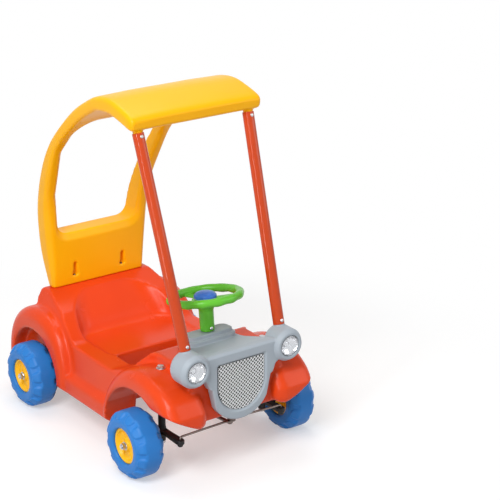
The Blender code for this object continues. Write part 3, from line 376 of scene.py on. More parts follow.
def arc(a, b, half_a, half_b, turns):
    """Points of an ellipse at these turns, in degrees."""
    return [(a + half_a * math.cos(math.radians(t)), b + half_b * math.sin(math.radians(t))) for t in turns]


def oval(a, b, half_a, half_b, power, start, end, steps):
    """Points of a full-shouldered oval; a power of 2 is an ellipse. Angles in degrees."""
    points = []
    for k in range(steps + 1):
        turn = math.radians(start + (end - start) * k / steps)
        x, y = math.cos(turn), math.sin(turn)
        reach = (abs(x) ** power + abs(y) ** power) ** (-1 / power)
        points.append((a + half_a * x * reach, b + half_b * y * reach))
    return points


def ringed(name, rings):
    """A disc drawn out to the first ring, then extruded once for every ring that follows."""
    count = len(rings[0])
    deselect()
    bpy.ops.mesh.primitive_circle_add(vertices=count, radius=1.0, fill_type="NGON")
    made = bpy.context.object
    made.name = name
    for vertex, place in zip(made.data.vertices, rings[0]):
        vertex.co = place
    for ring in rings[1:]:
        bpy.ops.object.mode_set(mode="EDIT")
        bpy.ops.mesh.extrude_region_move()
        bpy.ops.object.mode_set(mode="OBJECT")
        for vertex, place in zip(made.data.vertices[-count:], ring):
            vertex.co = place
    return face_out(made)


def drawn_in(outline, inset):
    """The same outline, moved inwards all the way round."""
    points = [Vector(p) for p in outline]
    count = len(points)
    area = sum(points[i - 1].cross(points[i]) for i in range(count))
    inwards = 1.0 if area > 0 else -1.0
    moved = []
    for i, here in enumerate(points):
        one = (here - points[i - 1]).normalized()
        two = (points[(i + 1) % count] - here).normalized()
        normals = Vector((-one.y, one.x)) + Vector((-two.y, two.x))
        shift = normals * (inwards * inset / max(1.0 + one.dot(two), 0.3))
        moved.append((here.x + shift.x, here.y + shift.y))
    return moved


def plate(name, outline, view, low, high, rounding=0.0, steps=6):
    """An outline with thickness from low to high across its view, its rims rounded by more rings."""
    if view is FRONT_VIEW:
        low, high = -high, -low
    ladder = [(0.0, low), (0.0, high)]
    if rounding:
        turns = [math.pi / 2 * k / steps for k in range(steps + 1)]
        near = [(rounding * (1 - math.sin(t)), low + rounding * (1 - math.cos(t))) for t in turns]
        ladder = near + [(inset, low + high - level) for inset, level in reversed(near)]
    made = ringed(name, [[(a, b, level) for a, b in drawn_in(outline, inset)] for inset, level in ladder])
    return settle(made, view)


def turned(name, profile, place=PLAN_VIEW, steps=64):
    """A (radius, height) profile spun round its axis, as on a lathe."""
    deselect()
    bpy.ops.mesh.primitive_circle_add(vertices=len(profile), radius=1.0, fill_type="NOTHING")
    made = bpy.context.object
    made.name = name
    for vertex, (radius, height) in zip(made.data.vertices, profile):
        vertex.co = (max(radius, 0.0), 0.0, height)
    bpy.ops.object.mode_set(mode="EDIT")
    bpy.ops.mesh.select_all(action="SELECT")
    bpy.ops.mesh.spin(steps=steps, angle=2 * math.pi, center=(0, 0, 0), axis=(0, 0, 1))
    bpy.ops.mesh.select_all(action="SELECT")
    bpy.ops.mesh.remove_doubles(threshold=0.00001)
    bpy.ops.mesh.dissolve_degenerate(threshold=0.000005)
    bpy.ops.mesh.normals_make_consistent(inside=False)
    bpy.ops.object.mode_set(mode="OBJECT")
    return settle(made, place)


def along(point, direction):
    """A frame at a point whose Z runs along a direction."""
    turn = Vector(direction).to_track_quat("Z", "Y").to_matrix().to_4x4()
    return Matrix.Translation(point) @ turn


def bar(name, radius, start, end, steps=48):
    """A round bar between two points."""
    start, end = Vector(start), Vector(end)
    deselect()
    bpy.ops.mesh.primitive_cylinder_add(vertices=steps, radius=radius, depth=(end - start).length)
    made = bpy.context.object
    made.name = name
    return settle(made, along((start + end) / 2, end - start))


def smooth_row(values, between):
    """A finer row through the same values, for stations that were measured far apart."""
    rows = []
    last = len(values) - 1
    for i in range(last):
        a, b, c, d = (values[max(i - 1, 0)], values[i], values[i + 1], values[min(i + 2, last)])
        for k in range(between):
            t = k / between
            rows.append(tuple(0.5 * (2 * q + (r - p) * t + (2 * p - 5 * q + 4 * r - s) * t * t
                                     + (3 * q - p - 3 * r + s) * t ** 3)
                              for p, q, r, s in zip(a, b, c, d)))
    return rows + [tuple(values[last])]


def show(piece, body, finish, slot, *stands_for):
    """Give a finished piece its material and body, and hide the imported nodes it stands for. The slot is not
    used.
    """
    piece.data.materials.clear()
    piece.data.materials.append(finish)
    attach(piece, body)
    if stands_for:
        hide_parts(*stands_for)
    print(piece.name, "on", body, "for", stands_for)

# %% [markdown]
# The plastic pieces are blown or injected in a steel mould. A blown wall is never flat: it shrinks
# unevenly, so its gloss waves slowly, and the mould leaves a very fine grain. Its colour is mixed
# in, so it varies only a little. All plastics here share one group of nodes for that, each with
# its own amounts. It reads object coordinates, so it stays on a piece wherever the piece goes.

# %% Moulded skin
def sockets(group, inputs, outputs):
    for name, start in inputs:
        made = group.interface.new_socket(name, in_out="INPUT", socket_type="NodeSocketFloat")
        made.default_value = start
    for name, kind in outputs:
        group.interface.new_socket(name, in_out="OUTPUT", socket_type=kind)
    return group.nodes.new("NodeGroupInput"), group.nodes.new("NodeGroupOutput")

skin = bpy.data.node_groups.new("moulded_skin", "ShaderNodeTree")
given, result = sockets(skin, [("Ripple", 0.4), ("Grain", 0.15), ("Grain Scale", 1800.0), ("Wear", 0.2)],
                        [("Height", "NodeSocketFloat"), ("Gloss Loss", "NodeSocketFloat"),
                         ("Tone", "NodeSocketFloat")])
amount = given.outputs
here = node(skin, "TexCoord").outputs["Object"]
wave = noise(skin, 16.0, 1.5, here)
dimple = noise(skin, 46.0, 1.0, here)
fine = noise(skin, amount["Grain Scale"], 2.0, here)
swell = reckon(skin, "MULTIPLY_ADD", dimple, 0.22, wave)
rippled = reckon(skin, "MULTIPLY", swell, amount["Ripple"])
grain_depth = reckon(skin, "MULTIPLY", amount["Grain"], 0.06)
smear = noise(skin, 7.0, 4.0, here, 0.6)
scuff = node(skin, "MapRange", {"From Min": 0.56, "From Max": 0.74, "Value": noise(skin, 95.0, 6.0, here, 0.7)})
rubbed = reckon(skin, "MULTIPLY", scuff.outputs["Result"], amount["Wear"])
feed(skin, result, {"Height": reckon(skin, "MULTIPLY_ADD", fine, grain_depth, rippled),
                    "Gloss Loss": reckon(skin, "MULTIPLY_ADD", smear, 0.5, rubbed),
                    "Tone": noise(skin, 5.0, 3.0, here, 0.55)})
print("group", skin.name)


# %% [markdown]
# A plastic is then a colour that wanders between two close tones, a gloss that the skin group
# breaks up, and its ripple and grain as a bump a fraction of a millimetre deep. The bump's distance
# is what makes a ripple look right: 0.6 mm over 60 mm is about what a blown wall shows.

# %% Plastics
PLASTIC_GRAIN_SCALE = 1800.0
PLASTIC_BUMP = 0.0006


def skinned(name, amounts, blend, tones, gloss, bump_depth, **inputs):
    """A material on the skin group: two tones, a range of gloss and a bump."""
    made, tree, shader = new_material(name)
    moulded = node(tree, "Group", amounts, node_tree=skin)
    colour = node(tree, "Mix", {"Factor": moulded.outputs[blend], "A": (*tones[0], 1.0),
                                "B": (*tones[1], 1.0)}, data_type="RGBA")
    rough = node(tree, "MapRange", {"Value": moulded.outputs["Gloss Loss"], "To Min": gloss[0],
                                    "To Max": gloss[1]})
    bump = node(tree, "Bump", {"Height": moulded.outputs["Height"], "Distance": bump_depth})
    feed(tree, shader, {"Base Color": colour.outputs["Result"], "Roughness": rough.outputs["Result"],
                        "Normal": bump.outputs["Normal"]})
    feed(tree, shader, {key.replace("_", " "): value for key, value in inputs.items()})
    return made


def plastic(name, light, dark, gloss, ripple, grain, wear=0.2, shine=0.25, **inputs):
    amounts = {"Ripple": ripple, "Grain": grain, "Grain Scale": PLASTIC_GRAIN_SCALE, "Wear": wear}
    return skinned(name, amounts, "Tone", (dark, light), (gloss - 0.06, gloss + 0.20), PLASTIC_BUMP,
                   Specular_IOR_Level=shine, **inputs)


ORANGE = plastic("orange_blown_plastic", (0.80, 0.068, 0.009), (0.72, 0.049, 0.007), 0.25, 0.7, 0.3,
                 wear=0.06, shine=0.20)
YELLOW = plastic("yellow_blown_plastic", (1.0, 0.50, 0.003), (0.98, 0.44, 0.002), 0.32, 0.6, 0.3,
                 wear=0.06, shine=0.18)
BLUE = plastic("blue_blown_plastic", (0.030, 0.220, 0.62), (0.020, 0.175, 0.54), 0.42, 0.5, 0.8)
HUB_YELLOW = plastic("yellow_injected_plastic", (0.98, 0.56, 0.012), (0.93, 0.47, 0.010), 0.30, 0.1, 0.3)
GREY = plastic("grey_injected_plastic", (0.395, 0.445, 0.495), (0.360, 0.410, 0.460), 0.40, 0.35, 0.9)
GREEN = plastic("green_injected_plastic", (0.145, 0.560, 0.040), (0.110, 0.480, 0.030), 0.24, 0.5, 0.2)
HORN_BLUE = plastic("blue_injected_plastic", (0.050, 0.190, 0.66), (0.040, 0.160, 0.58), 0.26, 0.2, 0.2)
BLACK = plastic("black_injected_plastic", (0.020, 0.019, 0.020), (0.012, 0.011, 0.012), 0.42, 0.2, 0.8)
print("plastics", len(bpy.data.materials))

# %% [markdown]
# The body is one hollow blow moulding: a tub with a seat, a hole for the feet and four fenders. In
# the shop it would be drawn as a few plain forms run together, so it is built the same way. The
# middle is the meeting of three outlines, from the side, from the front and in plan.

# %% Middle of the body
DECK = 0.2217
DOOR_RIM = 0.124
KNEE = 0.187
BELLY = -0.032
HOOD_TOP = 0.206
HOOD_HALF = 0.143
FRONT_BELLY = 0.054
SILL_HALF = 0.222
DOOR_HALF = 0.203
OUTSIDE = 0.26
BEYOND = OUTSIDE + 0.010

side_outline = fillet(
    at_front((-0.106, FRONT_BELLY, 0.012), (-0.106, HOOD_TOP, 0.010), (0.062, HOOD_TOP, 0.020),
             (0.108, 0.152, 0.030), (0.190, DOOR_RIM - 0.003, 0.060))
    + at_rear((-0.152, DOOR_RIM, 0.050), (-0.067, KNEE, 0.030), (0.022, DECK, 0.022), (0.064, DECK, 0.010),
              (0.070, 0.192, 0.012), (0.110, 0.166, 0.030), (0.158, 0.085, 0.040), (0.164, 0.015, 0.020),
              (0.040, BELLY, 0.040))
    + at_front((0.176, BELLY, 0.012), (0.160, FRONT_BELLY, 0.010)))
cross_section = fillet(both_halves([
    (SILL_HALF - 0.030, up(BELLY), 0.020), (SILL_HALF, up(-0.010), 0.006), (SILL_HALF, up(0.030), 0.014),
    (DOOR_HALF, up(0.046), 0.012), (DOOR_HALF - 0.006, up(DOOR_RIM - 0.010), 0.015),
    (0.188, up(0.170), 0.040), (0.166, up(DECK), 0.014), (0.146, up(DECK + 0.006), 0.0),
    (0.146, up(0.300), 0.0)]))
plan_outline = fillet(both_halves([
    (0.115, rear(0.168), 0.020), (0.158, rear(0.090), 0.060), (0.190, rear(0.056), 0.060),
    (OUTSIDE, rear(0.0), 0.0), (OUTSIDE, front(-0.2), 0.0)]))

middle = plate("middle", side_outline, SIDE_VIEW, -OUTSIDE, OUTSIDE)
across = plate("across", cross_section, FRONT_VIEW, front(-0.2), rear(0.2))
tail = plate("tail", plan_outline, PLAN_VIEW, 0.0, up(0.3))
cut(middle, across, tail, operation="INTERSECT")

hood_sides = []
for label, side in SIDES:
    hood, outer = side * HOOD_HALF, side * BEYOND
    hood_sides.append(plate("hood_side", fillet([
        (hood, front(-0.25), 0.0), (hood, front(0.050), 0.030),
        (side * (DOOR_HALF + 0.006), front(0.128), 0.0), (outer, front(0.128), 0.0),
        (outer, front(-0.25), 0.0)]), PLAN_VIEW, up(0.130), up(0.30)))
    hood_sides.append(plate("nose_side", [
        (hood, front(-0.25)), (outer, front(-0.25)), (outer, front(-0.060)), (hood, front(-0.060))],
        PLAN_VIEW, up(-0.05), up(0.135)))
cut(middle, *hood_sides)
print("middle", len(middle.data.polygons))

# %% [markdown]
# A fender is a soft hump over its wheel. Seen from the side it is an arc that runs out into the
# nose or down to the sill; across the car it is nearly half round. Its lower edges are cut on a
# slant, because the mould has to open. Both left fenders are made and then mirrored.

# %% Fenders
FENDER_HALF = 0.230
FENDER_SOFTNESS = 0.030
NOSE_LIP = 0.060
NOSE_LIP_HALF = 0.137
NOSE_LIP_SLOPE = 0.55
INSIDE_FENDER = 0.098
CHAMFER_IN = 0.030
CHAMFER_UP = 0.022
OVERCUT = 0.020
REAR_HUMP_BACK = 0.008
REAR_HUMP_HALF = 0.162

nose = fillet(at_front((-0.148, 0.104, 0.0), (-0.148, 0.056, 0.030), (-0.090, 0.052, 0.0),
                       (0.0, -0.080, 0.0), (0.120, -0.110, 0.0)))
front_hump = oval(front(0.004), up(-0.005), 0.190, 0.190, 2.0, -24, 132, 44)
front_fender = plate("front_fender", front_hump + nose, SIDE_VIEW, 0.108, FENDER_HALF, FENDER_SOFTNESS, 8)
lip = NOSE_LIP + (BEYOND - NOSE_LIP_HALF) * NOSE_LIP_SLOPE
nose_bevel = plate("nose_bevel", [
    (INSIDE_FENDER, up(NOSE_LIP)), (NOSE_LIP_HALF, up(NOSE_LIP)), (BEYOND, up(lip)), (BEYOND, up(-0.20)),
    (INSIDE_FENDER, up(-0.20))], FRONT_VIEW, front(-0.20), front(0.010))
slant = CHAMFER_UP / CHAMFER_IN
chamfer_inner, chamfer_outer = SILL_HALF - CHAMFER_IN - 0.0206, SILL_HALF + 0.0194
chamfer_top = up(-0.010 + OVERCUT * slant)
sill_chamfer = plate("sill_chamfer", [
    (chamfer_inner, up(BELLY - OVERCUT * slant)), (chamfer_outer, chamfer_top), (BEYOND, chamfer_top),
    (BEYOND, up(-0.070)), (chamfer_inner, up(-0.070))], FRONT_VIEW, front(-0.20), rear(0.20))
carve(front_fender, nose_bevel, sill_chamfer)

rear_hump = oval(rear(REAR_HUMP_BACK), up(0.0), REAR_HUMP_HALF, 0.180, 2.25, -24, 180, 60)
heel = rear(REAR_HUMP_BACK - REAR_HUMP_HALF)
rear_fender = plate("rear_fender", rear_hump + [(heel, up(-0.080)), (rear(0.110), up(-0.090))], SIDE_VIEW,
                    0.120, FENDER_HALF, FENDER_SOFTNESS, 8)
carve(rear_fender, sill_chamfer)
throw_away(nose_bevel, sill_chamfer)
fenders = [front_fender, rear_fender, other_side(front_fender, "front_fender_right"),
           other_side(rear_fender, "rear_fender_right")]
print("fenders", [len(f.data.polygons) for f in fenders])

# %% [markdown]
# What is cut away: the wheel arches, the child's seat and footwell, the pockets for the lamps and
# everything under the belly. The seat's hollow is a stack of rounded rings that lean back and
# widen, with more rings worked out between those that were measured, so that it is smooth.

# %% Hollows
SEAT = 0.118
SEAT_HALF = 0.150
FOOT_HOLE_FRONT = 0.103
FOOT_HOLE_LENGTH = 0.168
FOOT_HOLE_HALF = 0.130
LAMP_X = 0.1447
LAMP_Z = up(0.219)
LAMP_POCKET_R = 0.046
KINGPIN_X = 0.160
KINGPIN_BOSS_R = 0.014
THRUST_SEAT = 0.115
KINGPIN_TOP = 0.186

seat_rows = smooth_row([
    (0.000, -0.012, -0.020, -0.104, 0.040), (0.008, 0.000, -0.026, -0.088, 0.055),
    (0.034, 0.004, -0.032, -0.066, 0.070), (0.070, 0.004, -0.036, -0.030, 0.090),
    (0.100, 0.000, -0.040, 0.006, 0.100), (0.140, 0.000, -0.044, 0.030, 0.104)], 4)
hole_back = front(FOOT_HOLE_FRONT + FOOT_HOLE_LENGTH)
seat_rings = []
for rise, grow, low, high, radius in seat_rows:
    ring = rounded_box(SEAT_HALF + grow, hole_back + low, rear(high), radius, 14)
    seat_rings.append([(a, b, up(SEAT + rise)) for a, b in ring])
seat_hollow = ringed("seat_hollow", seat_rings)
foot_hole = plate("foot_hole", rounded_box(FOOT_HOLE_HALF, front(FOOT_HOLE_FRONT), hole_back, 0.015),
                  PLAN_VIEW, 0.0, up(0.26))
underside_line = at_front((-0.30, -0.20), (-0.30, FRONT_BELLY - 0.001), (0.160, FRONT_BELLY - 0.001),
                          (0.176, BELLY - 0.0005))
underside_line += at_rear((0.070, BELLY - 0.0005), (0.126, 0.004), (0.30, 0.018), (0.30, -0.20))
underside = plate("underside", underside_line, SIDE_VIEW, -0.30, 0.30)
hollows = [seat_hollow, foot_hole, underside]
for label, side in SIDES:
    for name, radius, inside, y, z in (("front_arch", 0.150, 0.145, front(0.026), up(-0.020)),
                                       ("rear_arch", 0.120, 0.188, rear(0.014), up(0.002))):
        hollows.append(bar(name, radius, (side * inside, y, z), (side * OUTSIDE, y, z), 96))
    hollows.append(bar("lamp_pocket", LAMP_POCKET_R, (side * LAMP_X, front(-0.160), LAMP_Z),
                       (side * LAMP_X, front(-0.078), LAMP_Z), 64))
solids = [middle] + fenders
for solid in solids:
    carve(solid, *hollows)
throw_away(*hollows)
bosses = [bar("boss", KINGPIN_BOSS_R, (side * KINGPIN_X, front(0), up(THRUST_SEAT)),
              (side * KINGPIN_X, front(0), up(KINGPIN_TOP))) for label, side in SIDES]
body = soft_skin("orange_body", solids + bosses, voxel=0.0040, rounds=8)
show(body, "car_body", ORANGE, "orange_plastic", "body_shell")

# %% [markdown]
# The kingpins stand in the body, and the rear axle and the steering column turn in it. Their bores
# are drilled after the skin has been softened, because a soft skin would close such a small hole.

# %% Bores in the body
CRANK_HEIGHT = 0.010
WHEEL_FORWARD = 0.030
WHEEL_HEIGHT = 0.3350
COLUMN_LENGTH = math.hypot(WHEEL_FORWARD, WHEEL_HEIGHT - CRANK_HEIGHT)
COLUMN = (Matrix.Translation((0, FRONT_AXLE, up(CRANK_HEIGHT)))
          @ Matrix.Rotation(-math.atan2(WHEEL_FORWARD, WHEEL_HEIGHT - CRANK_HEIGHT), 4, "X"))
BUSH_R = 0.0093
COLUMN_BORE = 0.0088
KINGPIN_BORE = 0.0056


def on_column(distance):
    """A point on the column's axis, so far above the crank."""
    return COLUMN @ Vector((0, 0, distance))


bores = [bar("bore", BUSH_R, (-OUTSIDE, rear(0), up(0)), (OUTSIDE, rear(0), up(0))),
         bar("bore", COLUMN_BORE, on_column(0.02), on_column(0.25))]
for label, side in SIDES:
    bores.append(bar("bore", KINGPIN_BORE, (side * KINGPIN_X, front(0), up(0.08)),
                     (side * KINGPIN_X, front(0), up(0.21))))
cut(body, *bores)
face_out(body)
bpy.ops.object.shade_smooth()
print("bored body", len(body.data.polygons))

# %% [markdown]
# The canopy is one yellow blow moulding from the backrest, up over the child's head, to a lip
# above the windscreen. A ring round the moulding is measured at seventeen places along it, and
# three more are worked out between each two. A few rounds of averaging ease the long arc, but not
# its foot and its lip, and extruding from ring to ring gives the whole bow.

# %% Canopy
CANOPY_HALF = 0.148
ROOF_HALF = 0.197
CANOPY_BACK = 0.028
BOW_ARC = (4, 44)
EASING_ROUNDS = 6

measured_from_rear = (
    (CANOPY_BACK + 0.030, DECK + 0.0003, CANOPY_BACK, DECK + 0.0003, CANOPY_HALF),
    (CANOPY_BACK + 0.042, 0.255, CANOPY_BACK - 0.003, 0.255, CANOPY_HALF + 0.003),
    (CANOPY_BACK + 0.060, 0.321, CANOPY_BACK - 0.006, 0.321, CANOPY_HALF + 0.010),
    (CANOPY_BACK + 0.058, 0.390, CANOPY_BACK - 0.009, 0.388, CANOPY_HALF + 0.016),
    (CANOPY_BACK + 0.050, 0.450, CANOPY_BACK - 0.012, 0.455, CANOPY_HALF + 0.021),
    (CANOPY_BACK + 0.025, 0.515, CANOPY_BACK - 0.028, 0.512, CANOPY_HALF + 0.027),
    (0.013, 0.593, -0.028, 0.572, ROOF_HALF - 0.015), (-0.026, 0.648, -0.060, 0.632, ROOF_HALF - 0.012),
    (-0.068, 0.696, -0.090, 0.675, ROOF_HALF - 0.010), (-0.168, 0.782, -0.184, 0.752, ROOF_HALF - 0.007),
    (-0.226, 0.816, -0.238, 0.784, ROOF_HALF - 0.005), (-0.281, 0.844, -0.290, 0.810, ROOF_HALF - 0.003))
measured_from_front = (
    (0.206, 0.857, 0.203, 0.818, ROOF_HALF - 0.002), (0.156, 0.860, 0.156, 0.818, ROOF_HALF - 0.001),
    (0.101, 0.848, 0.103, 0.808, ROOF_HALF), (0.062, 0.835, 0.066, 0.799, ROOF_HALF),
    (0.050, 0.824, 0.054, 0.804, ROOF_HALF - 0.006))
bow_rows = smooth_row(
    [(rear(a), up(b), rear(c), up(d), half) for a, b, c, d, half in measured_from_rear]
    + [(front(a), up(b), front(c), up(d), half) for a, b, c, d, half in measured_from_front], 4)
for _ in range(EASING_ROUNDS):
    bow_rows[BOW_ARC[0]:BOW_ARC[1]] = [
        tuple((a + 2 * b + c) / 4 for a, b, c in zip(*bow_rows[i - 1:i + 2])) for i in range(*BOW_ARC)]


def bow_ring(back_y, back_z, front_y, front_z, half):
    """A rounded rectangle across the bow, a little crowned on its outer side."""
    outer, inner = Vector((0, back_y, back_z)), Vector((0, front_y, front_z))
    depth = (outer - inner).length
    across = (outer - inner) / depth
    crown = 0.0025 * min(max((half - ROOF_HALF + 0.016) / 0.008, 0.0), 1.0)
    radius = depth * 0.30
    shape = fillet([(-half, 0.0, radius), (half, 0.0, radius), (half, depth, radius),
                    (half * 0.45, depth + crown, 0.0), (-half * 0.45, depth + crown, 0.0),
                    (-half, depth, radius)], 6)
    return [inner + across * b + Vector((a, 0, 0)) for a, b in shape]


canopy = ringed("yellow_canopy", [bow_ring(*row) for row in bow_rows])
print("bow", len(canopy.data.polygons))

# %% [markdown]
# The back window is cut out with a slanted edge all round, wider along the sill, where the child's
# back and hands go. Its cutter is three outlines deep, and each is bent to follow the bow's inner
# face. Two tapered slots in the backrest let the screwdriver reach the screws at the foot.

# %% Window and slots
WINDOW_EDGE = 0.012
SILL_EDGE = 0.010
WINDOW_EDGE_DEPTH = 0.010
SLOT_X = 0.0773
SLOT_FOOT = 0.246
SLOT_HEAD = 0.288

inner_face = [(row[3], row[2]) for row in bow_rows]


def face_at(z):
    """Y of the bow's inner face at a height."""
    for (low, y_low), (high, y_high) in zip(inner_face, inner_face[1:]):
        if low <= z <= high:
            return y_low + (y_high - y_low) * (z - low) / (high - low)
    return inner_face[0][1] if z < inner_face[0][0] else inner_face[-1][1]


window = fillet(both_halves([(0.124, up(0.376), 0.034), (0.138, up(0.500), 0.080),
                             (0.153, up(0.640), 0.080), (0.149, up(0.748), 0.050)]), 8)
wide = [(a, b - (SILL_EDGE if b < up(0.40) else 0.0)) for a, b in drawn_in(window, -WINDOW_EDGE)]
opening = ringed("opening", [[(a, rear(-0.26), b) for a, b in wide],
                             [(a, face_at(b) - 0.001, b) for a, b in wide],
                             [(a, face_at(b) + WINDOW_EDGE_DEPTH, b) for a, b in window],
                             [(a, rear(0.16), b) for a, b in window]])
slots = []
for label, side in SIDES:
    x = side * SLOT_X
    slots.append(plate("slot", [(x - 0.0082, up(SLOT_FOOT)), (x + 0.0082, up(SLOT_FOOT)),
                                (x + 0.0040, up(SLOT_HEAD)), (x - 0.0040, up(SLOT_HEAD))],
                       FRONT_VIEW, rear(0.0), rear(0.040)))
cut(canopy, opening, *slots)
print("window", len(canopy.data.polygons))

# %% [markdown]
# Under the roof's lip stand two short pegs that the posts are pushed over. They are part of the
# moulding, so they are joined to the bow before it gets its soft skin.

# %% Pegs and skin
POST_R = 0.0150
POST_FOOT = (0.1464, -0.0916, 0.2622)
POST_HEAD = (0.1666, 0.0713, 0.7907)
POST_SCREW_SET = 0.010


def post_point(side, share):
    """A point on a post's axis: 0 is its foot, 1 its head."""
    foot, head = (Vector((side * x, front(dy), up(dz))) for x, dy, dz in (POST_FOOT, POST_HEAD))
    return foot.lerp(head, share)


def post_line(side):
    """The direction up a post."""
    return (post_point(side, 1.0) - post_point(side, 0.0)).normalized()


pegs = []
for label, side in SIDES:
    head, line = post_point(side, 1.0), post_line(side)
    pegs.append(bar("peg", POST_R - 0.0022, head - line * 0.038, head + line * 0.016))
canopy = soft_skin("yellow_canopy", [canopy] + pegs, voxel=0.0028, rounds=5)
show(canopy, "car_body", YELLOW, "yellow_plastic", "canopy")

# %% [markdown]
# The two posts are steel tubes sprayed in the body's orange. Paint on steel is smoother than the
# plastic next to it: it mirrors the window of the room as one hard bright line. Its own sign of
# use is a fine orange peel and small dull rubs scattered along the tube.

# %% Paint
METAL_GRAIN_SCALE = 700.0
METAL_BUMP = 0.0004


def metal(name, tone, gloss, metallic, grain=0.0):
    """A smooth metal or paint with a faint cloudiness and rubbed spots."""
    amounts = {"Ripple": 0.02, "Grain": grain, "Grain Scale": METAL_GRAIN_SCALE, "Wear": 0.5}
    rubbed = [part * 0.80 for part in tone]
    return skinned(name, amounts, "Gloss Loss", (tone, rubbed), (gloss - 0.05, gloss + 0.18), METAL_BUMP,
                   Metallic=metallic, Specular_IOR_Level=0.30)


PAINT = metal("orange_sprayed_paint", (0.60, 0.058, 0.006), 0.10, 0.0, 0.3)
ZINC = metal("zinc_plated_steel", (0.60, 0.60, 0.61), 0.30, 1.0, 0.8)
DARK_STEEL = metal("oiled_steel_rod", (0.20, 0.165, 0.15), 0.34, 1.0, 0.8)
print("metals", PAINT.name, ZINC.name, DARK_STEEL.name)

# %% [markdown]
# A post is cut from tube, and the saw's edge is rounded off inside and out. It is drawn as a thin
# profile spun round the post's own axis, and it stops a little short of what it stands on.

# %% Posts
POST_GAP = 0.0003

for label, side in SIDES:
    start, line = post_point(side, 0.0), post_line(side)
    length = (post_point(side, 1.0) - start).length - 2 * POST_GAP
    wall = fillet([(POST_R - 0.0015, 0.0, 0.0006), (POST_R, 0.0, 0.0012), (POST_R, length, 0.0012),
                   (POST_R - 0.0015, length, 0.0006)], 4)
    post = turned("post_" + label, wall + [wall[0]], along(start + line * POST_GAP, line))
    smooth_below(40)
    show(post, "car_body", PAINT, "orange_paint", "front_post_" + label)

# %% [markdown]
# The grey fascia is the car's face: a shield with a round bib, two lamp pods, the flat top of the
# hood and a raised block that the steering column comes out of. It is one moulding, so the plain
# forms are joined and get one skin, with a finer step than the body because its edges are crisper.

# %% Fascia forms
FASCIA_Y = front(-0.132)
FASCIA_T = 0.025
FASCIA_LOW = 0.051
FASCIA_TOP = 0.245
SHIELD_HALF = 0.104
SHIELD_ROUND = 0.143
FASCIA_HALF = 0.108
POD_Y = front(-0.144)
POD_R = 0.044
BOWL_R = 0.0285
DECK_LOW = 0.2063
DASH_HALF = 0.076
DASH_REACH = 0.034

bib_r = SHIELD_ROUND - FASCIA_LOW
bib = arc(0.0, up(SHIELD_ROUND), bib_r, bib_r, range(-150, -29, 4))
shoulder = fillet([
    (SHIELD_HALF - 0.006, up(SHIELD_ROUND + 0.010), 0.010), (SHIELD_HALF + 0.004, up(0.178), 0.008),
    (LAMP_X - 0.010, up(0.192), 0.006), (LAMP_X - 0.010, up(FASCIA_TOP - 0.004), 0.003),
    (LAMP_X - 0.040, up(FASCIA_TOP), 0.0), (0.0, up(FASCIA_TOP), 0.0), (0.0, up(SHIELD_ROUND), 0.0)])
shoulder = [p for p in shoulder if p[0] > 0.001]
shield = plate("shield", bib + both_halves(shoulder), FRONT_VIEW, FASCIA_Y, FASCIA_Y + FASCIA_T, 0.0045, 5)
top_edge = plate("top_edge", [(FASCIA_Y - 0.002, up(FASCIA_TOP - 0.008)),
                              (FASCIA_Y + 0.008, up(FASCIA_TOP + 0.002)),
                              (FASCIA_Y - 0.002, up(FASCIA_TOP + 0.002))], SIDE_VIEW, -0.2, 0.2)
cut(shield, top_edge)

deck = plate("deck", [(FASCIA_Y + 0.008, up(FASCIA_TOP - 0.001)), (FASCIA_Y + 0.008, up(DECK_LOW)),
                      (front(0.046), up(DECK_LOW)), (front(0.046), up(0.216)), (front(-0.016), up(0.222))],
             SIDE_VIEW, -FASCIA_HALF - 0.01, FASCIA_HALF + 0.01)
half_deck = [(0.077, front(0.062), 0.006), (0.082, front(-0.030), 0.020), (FASCIA_HALF, front(-0.095), 0.010),
             (FASCIA_HALF, FASCIA_Y, 0.0)]
deck_plan = plate("deck_plan", fillet(both_halves(half_deck), 6), PLAN_VIEW, up(0.10), up(0.30))
cut(deck, deck_plan, operation="INTERSECT")

forms = [shield, deck]
for low, high, shrink in ((0.205, 0.222, 0.0), (0.215, 0.2335, 0.008)):
    reach = DASH_REACH - shrink
    outline = rounded_box(DASH_HALF - shrink, -reach, reach, reach - 0.008, 12)
    forms.append(settle(plate("dash_tier", outline, PLAN_VIEW, low, high, 0.0025, 4), COLUMN))
for label, side in SIDES:
    pod = [(0.0, 0.0), (0.0355, 0.0), (0.0368, 0.0012), (0.0430, 0.0105), (POD_R, 0.0125), (POD_R, 0.056),
           (0.041, 0.062), (0.034, 0.064), (0.0, 0.064)]
    forms.append(turned("pod", pod, along((side * LAMP_X, POD_Y, LAMP_Z), (0, 1, 0)), 72))
    foot, line = post_point(side, 0.0), post_line(side)
    forms.append(bar("pedestal", POST_R + 0.0012, foot - line * 0.034, foot - line * 0.0006))
    forms.append(bar("peg", POST_R - 0.0020, foot - line * 0.030, foot + line * 0.038))
print("fascia forms", len(forms))

# %% [markdown]
# The grille sits in a shallow recess with a slanted border, and each lamp in a round bowl. These
# are cut from the plain forms before the skin goes on. The opening for the grille is one outline,
# drawn larger at the shield's face than at the recess's floor.

# %% Recess, bowls and skin
GRILLE_HALF = 0.072
GRILLE_TOP = 0.213
GRILLE_ROUND = 0.152
GRILLE_DEPTH = 0.006
GRILLE_BORDER = 0.0065


def grille_outline(inset):
    half, drop = GRILLE_HALF - inset, GRILLE_ROUND - 0.078 - inset
    low = arc(0.0, up(GRILLE_ROUND), half, drop, range(-180, 1, 5))
    corner = fillet([(half, up(GRILLE_ROUND), 0.0), (half, up(GRILLE_TOP - inset), 0.006),
                     (-half, up(GRILLE_TOP - inset), 0.006), (-half, up(GRILLE_ROUND), 0.0)], 5)
    return low + corner[1:-1]


